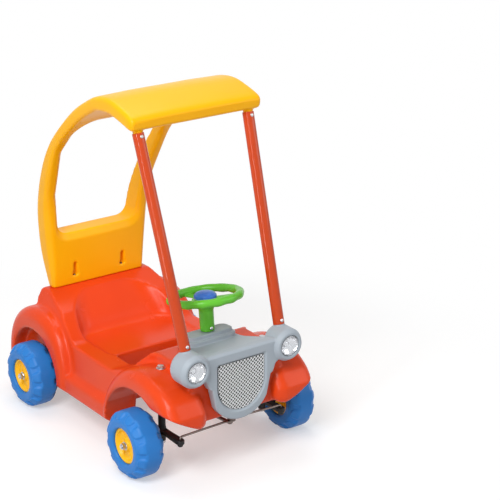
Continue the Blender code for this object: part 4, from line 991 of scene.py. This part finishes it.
floor_line, face_line = grille_outline(0.0), grille_outline(-GRILLE_BORDER)
recess = ringed("recess", [[(a, FASCIA_Y + depth, b) for a, b in line] for depth, line in (
    (-0.004, face_line), (-0.0005, face_line), (GRILLE_DEPTH, floor_line), (0.0100, floor_line))])
cuts = [recess, bar("column_hole", COLUMN_BORE, on_column(0.12), on_column(0.26))]
for label, side in SIDES:
    cuts.append(bar("bowl", BOWL_R, (side * LAMP_X, POD_Y - 0.01, LAMP_Z),
                    (side * LAMP_X, POD_Y + 0.024, LAMP_Z), 72))
for form in forms:
    carve(form, *cuts)
throw_away(*cuts)
fascia = soft_skin("grey_fascia", forms, voxel=0.0015, rounds=1, keep=0.85)
show(fascia, "car_body", GREY, "grey_plastic", "front_fascia")

# %% [markdown]
# Behind the opening lies a slanting lattice of pale wire, whose holes look black. The real one is a
# mesh, so it is built as one: two layers of straight wires at right angles, cut to the opening's
# outline, in front of a thin black sheet. The sheet is painted shade, standing for the dark seen
# through the mesh's holes. A painted check would look flat from the side.

# %% Grille
WIRE_PITCH = 0.00735
WIRE_WIDTH = 0.0020
WIRE_COUNT = 31
GRILLE_GAP = 0.0004

PALE_WIRE = plastic("pale_mesh_plastic", (0.88, 0.89, 0.90), (0.80, 0.81, 0.82), 0.30, 0.1, 0.6)


def wires(turn, low, high):
    """One layer of parallel wires, each an extruded square with its front edges bevelled."""
    made = []
    for k in range(WIRE_COUNT):
        across = (k - WIRE_COUNT // 2) * WIRE_PITCH
        wire = block((WIRE_WIDTH, high - low, 0.26), (across, (low + high) / 2, 0.0))
        made.append(work_in(wire, "BEVEL", width=0.0005, segments=2))
    layer = joined(*made)
    spin = Matrix.Rotation(turn, 4, "Y")
    settle(layer, Matrix.Translation((0, 0, up(GRILLE_ROUND - 0.005))) @ spin)
    edge = plate("edge", grille_outline(GRILLE_GAP), FRONT_VIEW, FASCIA_Y, FASCIA_Y + 0.010)
    cut(layer, edge, operation="INTERSECT")
    return layer


lattice = joined(wires(math.radians(45), FASCIA_Y + 0.0034, FASCIA_Y + 0.0048),
                 wires(math.radians(-45), FASCIA_Y + 0.0031, FASCIA_Y + 0.0045))
lattice.name = "grille_lattice"
smooth_below(30)
show(lattice, "car_body", PALE_WIRE, "grille_print", "grille_mesh")
# The black sheet is painted shade: it stands for the dark seen through the mesh's holes.
shade_sheet = plate("grille_shade_sheet", grille_outline(GRILLE_GAP), FRONT_VIEW, FASCIA_Y + 0.0049, FASCIA_Y + 0.0058,
                0.0003, 2)
show(shade_sheet, "car_body", BLACK, "black_plastic", "grille_mesh")
print("lattice faces", len(lattice.data.polygons))

# %% [markdown]
# A toy's lamp is a chromed bowl pressed in rings of small flats, under a clear dome. The flats
# throw the room back in pieces, and that is what makes it look like a lamp. The bowl is turned with
# few steps and left flat on purpose, while the dome over it is smooth and thin.

# %% Lamps
CHROME = metal("bright_chrome", (0.74, 0.74, 0.75), 0.14, 1.0, 0.0)
CLEAR = plastic("clear_lens_plastic", (0.97, 0.98, 1.0), (0.94, 0.96, 0.98), 0.07, 0.3, 0.0,
                Transmission_Weight=1.0, IOR=1.46)
BOWL = [(0.0, 0.0236), (0.018, 0.0236), (0.0272, 0.013), (0.0276, 0.0055), (0.0262, 0.0055), (0.0235, 0.0095),
        (0.0190, 0.0135), (0.0140, 0.0165), (0.0085, 0.0184), (0.0062, 0.0160), (0.0034, 0.0148), (0.0, 0.0145)]
GLASS = [(0.0, 0.0022), (0.012, 0.0028), (0.021, 0.0040), (0.0270, 0.0050), (0.0274, 0.0046), (0.0274, 0.0030),
         (0.0262, 0.0020), (0.0240, 0.0012), (0.018, -0.0002), (0.010, -0.0013), (0.0, -0.0017)]

for label, side in SIDES:
    face = along((side * LAMP_X, POD_Y, LAMP_Z), (0, 1, 0))
    reflector = turned("reflector_" + label, BOWL, face, 22)
    bpy.ops.object.shade_flat()
    show(reflector, "car_body", CHROME, "chrome", "headlight_reflector_" + label)
    lens_piece = turned("lens_" + label, GLASS, face, 72)
    bpy.ops.object.shade_smooth()
    show(lens_piece, "car_body", CLEAR, "clear_plastic", "headlight_lens_" + label)

# %% [markdown]
# The steering wheel is one green moulding: a rim with shallow finger swells, three flat spokes, a
# cup for the horn and a long tapering sleeve down to the hood. The rim is spun as a ring, and its
# points are then pushed out and in along the ring, which gives the swells.

# %% Steering wheel
RIM_MAJOR = 0.0905
RIM_R = 0.0117
RIM_RAKE = 5.5
FINGER_SWELLS = 14
SWELL = 0.0007
SLEEVE_R = 0.0195
HORN_R = 0.030
DASH_TOP = 0.2335
SPOKE_END = RIM_MAJOR - 0.004
AXLE_BORE = 0.0053

hub_height = COLUMN_LENGTH
centre = Matrix.Translation((0, 0, hub_height))
raked = COLUMN @ centre @ Matrix.Rotation(math.radians(-RIM_RAKE), 4, "X") @ centre.inverted()
rim = turned("rim", arc(RIM_MAJOR, hub_height, RIM_R, RIM_R, range(0, 361, 15)), steps=140)
for vertex in rim.data.vertices:
    turn = math.atan2(vertex.co.y, vertex.co.x)
    core = Vector((RIM_MAJOR * math.cos(turn), RIM_MAJOR * math.sin(turn), hub_height))
    under = 0.5 - 0.5 * (vertex.co.z - hub_height) / RIM_R
    swell = SWELL * (math.cos(turn * FINGER_SWELLS) - 1.0) * (0.4 + under)
    vertex.co += (vertex.co - core).normalized() * swell
settle(rim, raked)
pieces = [rim]
for k in range(3):
    turn = Matrix.Rotation(math.radians(90 + 120 * k), 4, "Z")
    spoke = plate("spoke", [(0.020, -0.0100), (0.050, -0.0085), (SPOKE_END, -0.0115), (SPOKE_END, 0.0115),
                            (0.050, 0.0085), (0.020, 0.0100)], PLAN_VIEW,
                  hub_height - 0.0105, hub_height - 0.0035, 0.0022, 4)
    pieces.append(settle(spoke, raked @ turn))
spigot = HORN_R - 0.0044
cup = [(r, hub_height + h) for r, h in (
    (0.0, 0.001), (spigot, 0.001), (spigot, -0.0070), (0.0350, -0.0070), (0.0362, -0.0085),
    (0.0345, -0.0135), (0.0285, -0.0205), (0.0225, -0.0275), (SLEEVE_R, -0.036))]
sleeve = cup + [(SLEEVE_R - 0.0004, DASH_TOP + 0.006), (SLEEVE_R - 0.0014, DASH_TOP + 0.0010),
                (0.0, DASH_TOP + 0.0010)]
pieces.append(turned("sleeve", sleeve, COLUMN, 80))
steering = soft_skin("green_steering_wheel", pieces, voxel=0.00135, rounds=3)
cut(steering, bar("socket", AXLE_BORE, on_column(0.2), on_column(hub_height - 0.004)))
face_out(steering)
bpy.ops.object.shade_smooth()
show(steering, "steering", GREEN, "green_plastic", "steering_wheel")

# %% [markdown]
# The horn is a blue cap that a child can slap down. It slides on the cup by its skirt, so there is
# a dark line of shadow under its edge. A turned profile gives the dome, the rolled edge and the
# hollow under it in one go.

# %% Horn cap
low = COLUMN_LENGTH - 0.006 + 0.0036
skirt = HORN_R - 0.003
dome = fillet([(0.0001, low + 0.0170, 0.0), (0.012, low + 0.0164, 0.03), (0.0235, low + 0.0132, 0.02),
               (HORN_R - 0.0003, low + 0.0070, 0.004), (HORN_R, low, 0.0008), (skirt, low, 0.0006),
               (skirt, low + 0.0075, 0.002), (0.0001, low + 0.0105, 0.0)], 6)
horn = turned("blue_horn_cap", [(0.0, dome[0][1])] + dome + [(0.0, dome[-1][1])], COLUMN, 72)
smooth_below(40)
show(horn, "horn", HORN_BLUE, "blue_plastic", "horn_button")

# %% [markdown]
# A tyre is a hollow blue drum with a smooth tread and a ring of raised pads on each shoulder. The
# pads leave the tread at full height and die out towards the sidewall. One drum and twelve pads a
# side are joined and skinned together, and the three other tyres are copies of it.

# %% Tyre
WHEEL_R = 0.0898
HALF_TRACK = 0.2422
PADS = 12
PAD_TURN = 21.0
PAD_RISE = 0.0028
PAD_INNER_R = 0.0735
PAD_OUTER_R = 0.0868
PAD_RINGS = 9
PAD_ENDS = 0.85

shoulder_line = [(0.0475, 0.0345), (0.0500, 0.0385), (0.0560, 0.0400), (0.0650, 0.0405), (0.0708, 0.0390),
                 (0.0745, 0.0342), (0.0792, 0.0285), (0.0828, 0.0242), (0.0862, 0.0212), (0.0892, 0.0190),
                 (WHEEL_R, 0.0150), (WHEEL_R, 0.0)]
drum_line = shoulder_line + [(r, -h) for r, h in reversed(shoulder_line[:-1])]
drum = turned("drum", drum_line + [drum_line[0]], steps=144)


def pad_section(share):
    """The pad's cross section; it reaches less far in towards its two ends."""
    reach = PAD_INNER_R + 0.0070 * abs(share) ** 3
    slope = (0.0405 - 0.0266) / (PAD_OUTER_R - PAD_INNER_R)
    h_in = 0.0403 - slope * (reach - PAD_INNER_R)
    return [(reach, h_in), (PAD_OUTER_R, 0.0270), (WHEEL_R - 0.0004, 0.0222), (WHEEL_R, 0.0190),
            (WHEEL_R, 0.0150), (0.0850, 0.0150), (reach - 0.002, h_in - 0.0050)]


rings = []
for k in range(PAD_RINGS):
    share = k / (PAD_RINGS // 2) - 1.0
    turn = math.radians(PAD_TURN / 2 * share)
    lower = PAD_RISE * 0.9 * max(abs(share) - PAD_ENDS, 0.0) / 0.15 * 0.7
    rings.append([((r - lower) * math.cos(turn), (r - lower) * math.sin(turn), h - lower)
                  for r, h in pad_section(share)])
pad = ringed("pad", rings)
pads = []
for k in range(PADS):
    spin = Matrix.Rotation(2 * math.pi * (k + 0.5) / PADS, 4, "Z")
    pads.append(settle(twin(pad, "pad"), spin))
    inner_pad = settle(twin(pad, "pad"), spin @ Matrix.Diagonal((1, 1, -1, 1)))
    pads.append(face_out(inner_pad))
throw_away(pad)
tyre = soft_skin("blue_tyre", [drum] + pads, voxel=0.0015, rounds=2)
print("tyre size", [round(v, 4) for v in tyre.dimensions])

# %% [markdown]
# The hub is pressed into the tyre from outside: a shallow yellow dish with a rolled rim, a raised
# centre for the axle and a ring of small ribs between. It shines a little more than the blown
# pieces because it comes from a polished mould.

# %% Hub
RIBS = 6

hub_line = fillet([
    (0.0054, 0.0300, 0.0), (0.0135, 0.0300, 0.0012), (0.0150, 0.0262, 0.003), (0.0195, 0.0232, 0.003),
    (0.0368, 0.0230, 0.003), (0.0410, 0.0305, 0.003), (0.0440, 0.0318, 0.0016), (0.0469, 0.0312, 0.001),
    (0.0469, -0.0310, 0.001), (0.0420, -0.0310, 0.001), (0.0140, 0.0080, 0.004),
    (0.0140, -0.0402, 0.0008), (0.0054, -0.0402, 0.0)], 5)
hub = turned("yellow_hub", hub_line + [hub_line[0]], steps=96)
ribs = []
for k in range(RIBS):
    rib = plate("rib", [(0.0175, 0.0200), (0.0380, 0.0200), (0.0400, 0.0262), (0.0365, 0.0246),
                        (0.0200, 0.0250), (0.0165, 0.0270)], FRONT_VIEW, -0.0012, 0.0012, 0.0005, 3)
    ribs.append(settle(rib, Matrix.Rotation(2 * math.pi * k / RIBS, 4, "Z")))
hub = joined(hub, *ribs)
smooth_below(35)
print("hub faces", len(hub.data.polygons))

# %% [markdown]
# All four wheels are alike, as on the real car, where one mould serves for all. Each copy is turned
# so that its dish looks outwards, and rides on its own body, so that it can spin.

# %% Four wheels
wheel_places = {}
for end, y in (("front", front(0)), ("rear", rear(0))):
    for label, side in SIDES:
        place = along((side * HALF_TRACK, y, up(0)), (side, 0, 0))
        wheel_places[end + "_" + label] = place
        rider = "wheel_" + end + "_" + label
        one = settle(twin(tyre, "tyre_of_" + end + "_" + label), place)
        show(one, rider, BLUE, "blue_plastic", "tyre_" + end + "_" + label)
        one = settle(twin(hub, "hub_of_" + end + "_" + label), place)
        show(one, rider, HUB_YELLOW, "yellow_plastic", "hub_" + end + "_" + label)
throw_away(tyre, hub)

# %% [markdown]
# Bolts, nuts, washers and screws are all bought parts, so each kind is modelled once and copied.
# The chamfer on a nut and the cross in a screw are what the eye takes for real at this size. A nut
# is six flats cut by a cone, a screw a turned profile with its cross cut in.

# %% Fastener patterns
SCREW_HEAD_R = 0.0045
SCREW_HEAD_T = 0.0025
SCREW_GAP = 0.0003
NUT_R = 0.0090


def hexagon(name, height, bore):
    """A hexagon head or nut, its corners turned off at both ends, with or without a bore."""
    deselect()
    bpy.ops.mesh.primitive_cylinder_add(vertices=6, radius=NUT_R, depth=height)
    made = settle(bpy.context.object, Matrix.Translation((0, 0, height / 2)))
    made.name = name
    cone = turned("cone", [(0.0, -0.001), (NUT_R - 0.0030, -0.001), (NUT_R + 0.0012, 0.0013),
                           (NUT_R + 0.0012, height - 0.0013), (NUT_R - 0.0030, height + 0.001),
                           (0.0, height + 0.001)], steps=48)
    cut(made, cone, operation="INTERSECT")
    if bore:
        cut(made, bar("drill", bore, (0, 0, -0.01), (0, 0, height + 0.01), 32))
    return face_out(made)


def pan_screw(name, length):
    """A domed head with a cross recess over a plain shank."""
    dome = [(radius, SCREW_GAP + SCREW_HEAD_T * share) for radius, share in (
        (0.0, 1.0), (0.0018, 0.97), (0.0033, 0.80), (SCREW_HEAD_R - 0.0002, 0.42))]
    made = turned(name, dome + [(SCREW_HEAD_R, 0.0007), (SCREW_HEAD_R - 0.0002, SCREW_GAP), (0.0023, SCREW_GAP),
                                (0.0023, -length + 0.002), (0.0010, -length), (0.0, -length)], steps=40)
    for wide, narrow in ((0.0045, 0.0009), (0.0009, 0.0045)):
        cut(made, block((wide, narrow, 0.0030), (0.0, 0.0, 0.0029)))
    return face_out(made)


def washer(name, outer, inner, height):
    rim = 0.0003
    profile = [(inner, 0.0), (outer - rim, 0.0), (outer, rim), (outer, height - rim), (outer - rim, height),
               (inner, height), (inner, 0.0)]
    return turned(name, profile, steps=56)


nut = hexagon("nut", 0.0080, AXLE_BORE)
bolt_head = hexagon("bolt_head", 0.0060, 0.0)
short_nut = hexagon("short_nut", 0.0070, AXLE_BORE)
wheel_washer = washer("wheel_washer", 0.0110, AXLE_BORE, 0.0020)
kingpin_washer = washer("kingpin_washer", 0.0118, AXLE_BORE, 0.0016)
print("patterns", nut.name, bolt_head.name, short_nut.name, wheel_washer.name, kingpin_washer.name)


def fit(pattern, name, place, body, node_name, finish=ZINC):
    """A copy of a pattern, in place and on its body."""
    made = settle(twin(pattern, name), place)
    smooth_below(30)
    show(made, body, finish, "steel", node_name)


def lifted_by(distance):
    return Matrix.Translation((0, 0, distance))


# %% [markdown]
# Each wheel is held by a washer and a nut, and each kingpin is a bolt with a washer under its head
# and a nut below. No two nuts on a real car stop at the same turn, so the front and the rear ones
# stand at different turns here.

# %% Fasteners in place
HUB_FACE = 0.0300
KINGPIN_FOOT = -0.016

for key, place in wheel_places.items():
    end, label = key.split("_")
    rider = "knuckle_" + label if end == "front" else "car_body"
    low = HUB_FACE + 0.0004
    fit(wheel_washer, "washer_of_" + key, place @ lifted_by(low), rider, end + "_wheel_washer_" + label)
    spin = Matrix.Rotation(math.radians(14 if end == "front" else 41), 4, "Z")
    fit(nut, "nut_of_" + key, place @ lifted_by(low + 0.0023) @ spin, rider, end + "_wheel_nut_" + label)

for label, side in SIDES:
    centre_line = Matrix.Translation((side * KINGPIN_X, front(0), 0.0))
    seat = up(KINGPIN_TOP) + 0.0003
    fit(kingpin_washer, "kingpin_washer_of_" + label, centre_line @ lifted_by(seat), "car_body",
        "kingpin_washer_" + label)
    head = settle(twin(bolt_head, "head"), centre_line @ lifted_by(seat + 0.0019))
    foot = up(KINGPIN_FOOT)
    shank = turned("shank", [(0.0, seat + 0.004), (0.0050, seat + 0.004), (0.0050, foot - 0.0092),
                             (0.0042, foot - 0.0100), (0.0, foot - 0.0100)], centre_line, 40)
    bolt = joined(head, shank)
    bolt.name = "kingpin_bolt_" + label
    smooth_below(30)
    show(bolt, "car_body", ZINC, "steel", "kingpin_" + label)
    fit(short_nut, "kingpin_lower_nut_" + label, centre_line @ lifted_by(foot - 0.0074), "car_body",
        "kingpin_nut_" + label)
throw_away(nut, bolt_head, short_nut, wheel_washer, kingpin_washer)

# %% [markdown]
# Each post has a screw near its foot and one near its head, both from the front. A longer one goes
# down in each slot of the canopy, and one holds the steering wheel's sleeve to the column.

# %% Screws in place
post_screw = pan_screw("post_screw", 0.012)
foot_screw = pan_screw("foot_screw", SLOT_FOOT - DECK + 0.024)
wheel_screw = pan_screw("wheel_screw", 0.022)


def screw_place(side, share):
    """On the front of a post, near one end, with Z pointing out of the tube."""
    ahead = Vector((0, -1, 0))
    line = post_line(side)
    out = (ahead - line * ahead.dot(line)).normalized()
    shift = POST_SCREW_SET if share == 0.0 else -POST_SCREW_SET
    return along(post_point(side, share) + line * shift + out * (POST_R - 0.0002), out)


for label, side in SIDES:
    for end, share in (("foot", 0.0), ("head", 1.0)):
        fit(post_screw, "post_" + end + "_screw_of_" + label, screw_place(side, share), "car_body",
            "post_" + end + "_screw_" + label)
    fit(foot_screw, "canopy_screw_of_" + label,
        Matrix.Translation((side * SLOT_X, rear(0.035), up(SLOT_FOOT))), "car_body", "canopy_screw_" + label,
        DARK_STEEL)
ahead = COLUMN.to_3x3() @ Vector((0, -1, 0))
fit(wheel_screw, "wheel_screw_of_sleeve", along(on_column(0.244), ahead) @ lifted_by(SLEEVE_R - 0.0001),
    "steering", "steering_screw")
throw_away(post_screw, foot_screw, wheel_screw)

# %% [markdown]
# Each front wheel turns about its kingpin on a black moulded knuckle: a sleeve round the pin, a
# stub for the axle and an arm that reaches forward to the tie rod. Its forms are joined and
# skinned like the body's, at a finer step, and its three bores are drilled afterwards.

# %% Knuckles
ARM_LENGTH = 0.084
ARM_TOP = 0.018
ARM_T = 0.012
ARM_END_R = 0.0110
ROD_BORE = 0.0036

arm_line = [(0.0105, front(0.007)), (-0.0105, front(0.007)), (-0.0090, front(-0.030)),
            (-ARM_END_R, front(-0.080))]
arm_line += arc(0.0, front(-ARM_LENGTH), ARM_END_R, ARM_END_R, range(180, 361, 12))
arm_line += [(ARM_END_R, front(-0.080)), (0.0090, front(-0.030))]
sleeve_line = [(r, up(h)) for r, h in (
    (0.0, KINGPIN_FOOT), (0.0094, KINGPIN_FOOT), (0.0100, -0.0152), (0.0100, -0.002), (0.0108, 0.004),
    (0.0108, 0.020), (0.0098, 0.026), (0.0098, 0.1138), (0.0092, 0.1146), (0.0, 0.1146))]

for label, side in SIDES:
    x = side * KINGPIN_X
    sleeve = turned("sleeve", sleeve_line, Matrix.Translation((x, front(0), 0)), 48)
    stub = bar("stub", 0.0095, (x, front(0), up(0)), (side * (HALF_TRACK - 0.0406), front(0), up(0)))
    arm = plate("arm", [(x + a, b) for a, b in arm_line], PLAN_VIEW, up(ARM_TOP - ARM_T), up(ARM_TOP),
                0.0016, 3)
    knuckle = soft_skin("knuckle_of_" + label, [sleeve, stub, arm], voxel=0.0011, rounds=2)
    cut(knuckle, bar("drill", KINGPIN_BORE, (x, front(0), up(-0.03)), (x, front(0), up(0.14))),
        bar("drill", AXLE_BORE, (side * (KINGPIN_X + 0.0085), front(0), up(0)), (side * 0.25, front(0), up(0))),
        bar("drill", ROD_BORE, (x, front(-ARM_LENGTH), up(0)), (x, front(-ARM_LENGTH), up(0.04))))
    face_out(knuckle)
    smooth_below(50)
    show(knuckle, "knuckle_" + label, BLACK, "black_plastic", "knuckle_" + label)

# %% [markdown]
# The column is one bent steel bar, and each tie rod a thin bent one with a flattened eye round the
# column's crank. A rod is a circle carried along its path: rings are set across the path, closer
# at the bends, and joined in order.

# %% Bent rods
EYE_T = 0.004
EYE_BORE = 0.0068
COLUMN_R = 0.0050
TIE_ROD_R = 0.0030


def rod(name, path, radius, steps=24):
    """A round rod along a list of points, with small chamfers at its ends."""
    points = [Vector(p) for p in path]
    rings = []
    across = None
    for i, here in enumerate(points):
        ahead = (points[min(i + 1, len(points) - 1)] - points[max(i - 1, 0)]).normalized()
        if across is None:
            across = ahead.orthogonal().normalized()
        across = (across - ahead * across.dot(ahead)).normalized()
        other = ahead.cross(across)
        sizes, shifts = [radius], [0.0]
        if i == 0:
            sizes, shifts = [radius * 0.8, radius], [0.0, radius * 0.2]
        elif i == len(points) - 1:
            sizes, shifts = [radius, radius * 0.8], [-radius * 0.2, 0.0]
        for size_here, shift in zip(sizes, shifts):
            rings.append([here + ahead * shift + (across * math.cos(t) + other * math.sin(t)) * size_here
                          for t in (2 * math.pi * k / steps for k in range(steps))])
    return ringed(name, rings)


bend = fillet([(0.0, COLUMN_LENGTH - 0.005, 0.0), (0.0, 0.0, 0.012), (-ARM_LENGTH, 0.0, 0.008),
               (-ARM_LENGTH, 0.024, 0.0)], 8)
column = rod("bent_column", [COLUMN @ Vector((0.0, a, b)) for a, b in bend], COLUMN_R, 32)
smooth_below(40)
show(column, "steering", DARK_STEEL, "steel", "steering_column")

pin = COLUMN @ Vector((0, -ARM_LENGTH, 0.0))
outer = up(ARM_TOP + 0.0075)
under = up(ARM_TOP - ARM_T) - 0.0003
eye_line = ((0.024, -0.0032, 0.0), (0.024, 0.0032, 0.0), (0.008, 0.0085, 0.004), (-0.0105, 0.0105, 0.0100),
            (-0.0105, -0.0105, 0.0100), (0.008, -0.0085, 0.004))
cap_line = [(r, under + h) for r, h in (
    (0.0032, 0.0), (0.0068, 0.0), (0.0074, -0.0006), (0.0072, -0.0045), (0.0058, -0.0064), (0.0036, -0.0070),
    (0.0032, -0.0070), (0.0032, 0.0))]
for label, side in SIDES:
    x, y = side * KINGPIN_X, front(-ARM_LENGTH)
    level = pin.z + 0.0075 + (EYE_T + 0.0008) * (0 if side < 0 else 1)
    path = [(x, y, up(-0.001)), (x, y, up(0.008)), (x, y, outer - 0.0050),
            (x - side * 0.0008, y, outer - 0.0024), (x - side * 0.0026, y, outer - 0.0006),
            (x - side * 0.0056, y, outer),
            (side * 0.0165, pin.y, level + EYE_T / 2)]
    eye = fillet([(side * a, pin.y + b, radius) for a, b, radius in eye_line], 8)
    forms = [rod("rod", path, TIE_ROD_R), plate("eye", eye, PLAN_VIEW, level, level + EYE_T, 0.0005, 2)]
    tie = soft_skin("tie_rod_of_" + label, forms, voxel=0.0009, rounds=1)
    cut(tie, bar("hole", EYE_BORE, (0, pin.y, level - 0.01), (0, pin.y, level + 0.02)))
    face_out(tie)
    smooth_below(45)
    show(tie, "tie_rod_" + label, DARK_STEEL, "steel", "tie_rod_" + label)
    cap = turned("rod_cap_of_" + label, cap_line, Matrix.Translation((x, y, 0)), 40)
    smooth_below(40)
    show(cap, "tie_rod_" + label, BLACK, "black_plastic", "tie_rod_cap_" + label)

# %% [markdown]
# What is left is hidden or almost so: the axles show only as ends in their nuts, and the bushes as
# dark rings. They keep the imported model's shapes, with round bars in place of the faceted axles,
# and they take the same steel and black as the rest.

# %% Axles and bushes
AXLE_R = 0.0050
AXLE_END = 0.044


def axle(name, start, end, body, node):
    made = bar(name, AXLE_R, start, end, 40)
    take(made)
    work_in(made, "BEVEL", width=0.0008, segments=2, limit_method="ANGLE", angle_limit=math.radians(60))
    smooth_below(35)
    show(made, body, ZINC, "steel", node)


reach = HALF_TRACK + AXLE_END
axle("rear_axle_bar", (-reach, rear(0), up(0)), (reach, rear(0), up(0)), "car_body", "rear_axle")
for label, side in SIDES:
    axle("stub_axle_of_" + label, (side * (KINGPIN_X + 0.0088), front(0), up(0)),
         (side * reach, front(0), up(0)),
         "knuckle_" + label, "stub_axle_" + label)
for name in ("column_bush_lower", "column_bush_upper", "rear_bush_right", "rear_bush_left"):
    piece = nodes[name]
    for slot_here in piece.material_slots:
        slot_here.material = BLACK
    print(name, "keeps its shape")
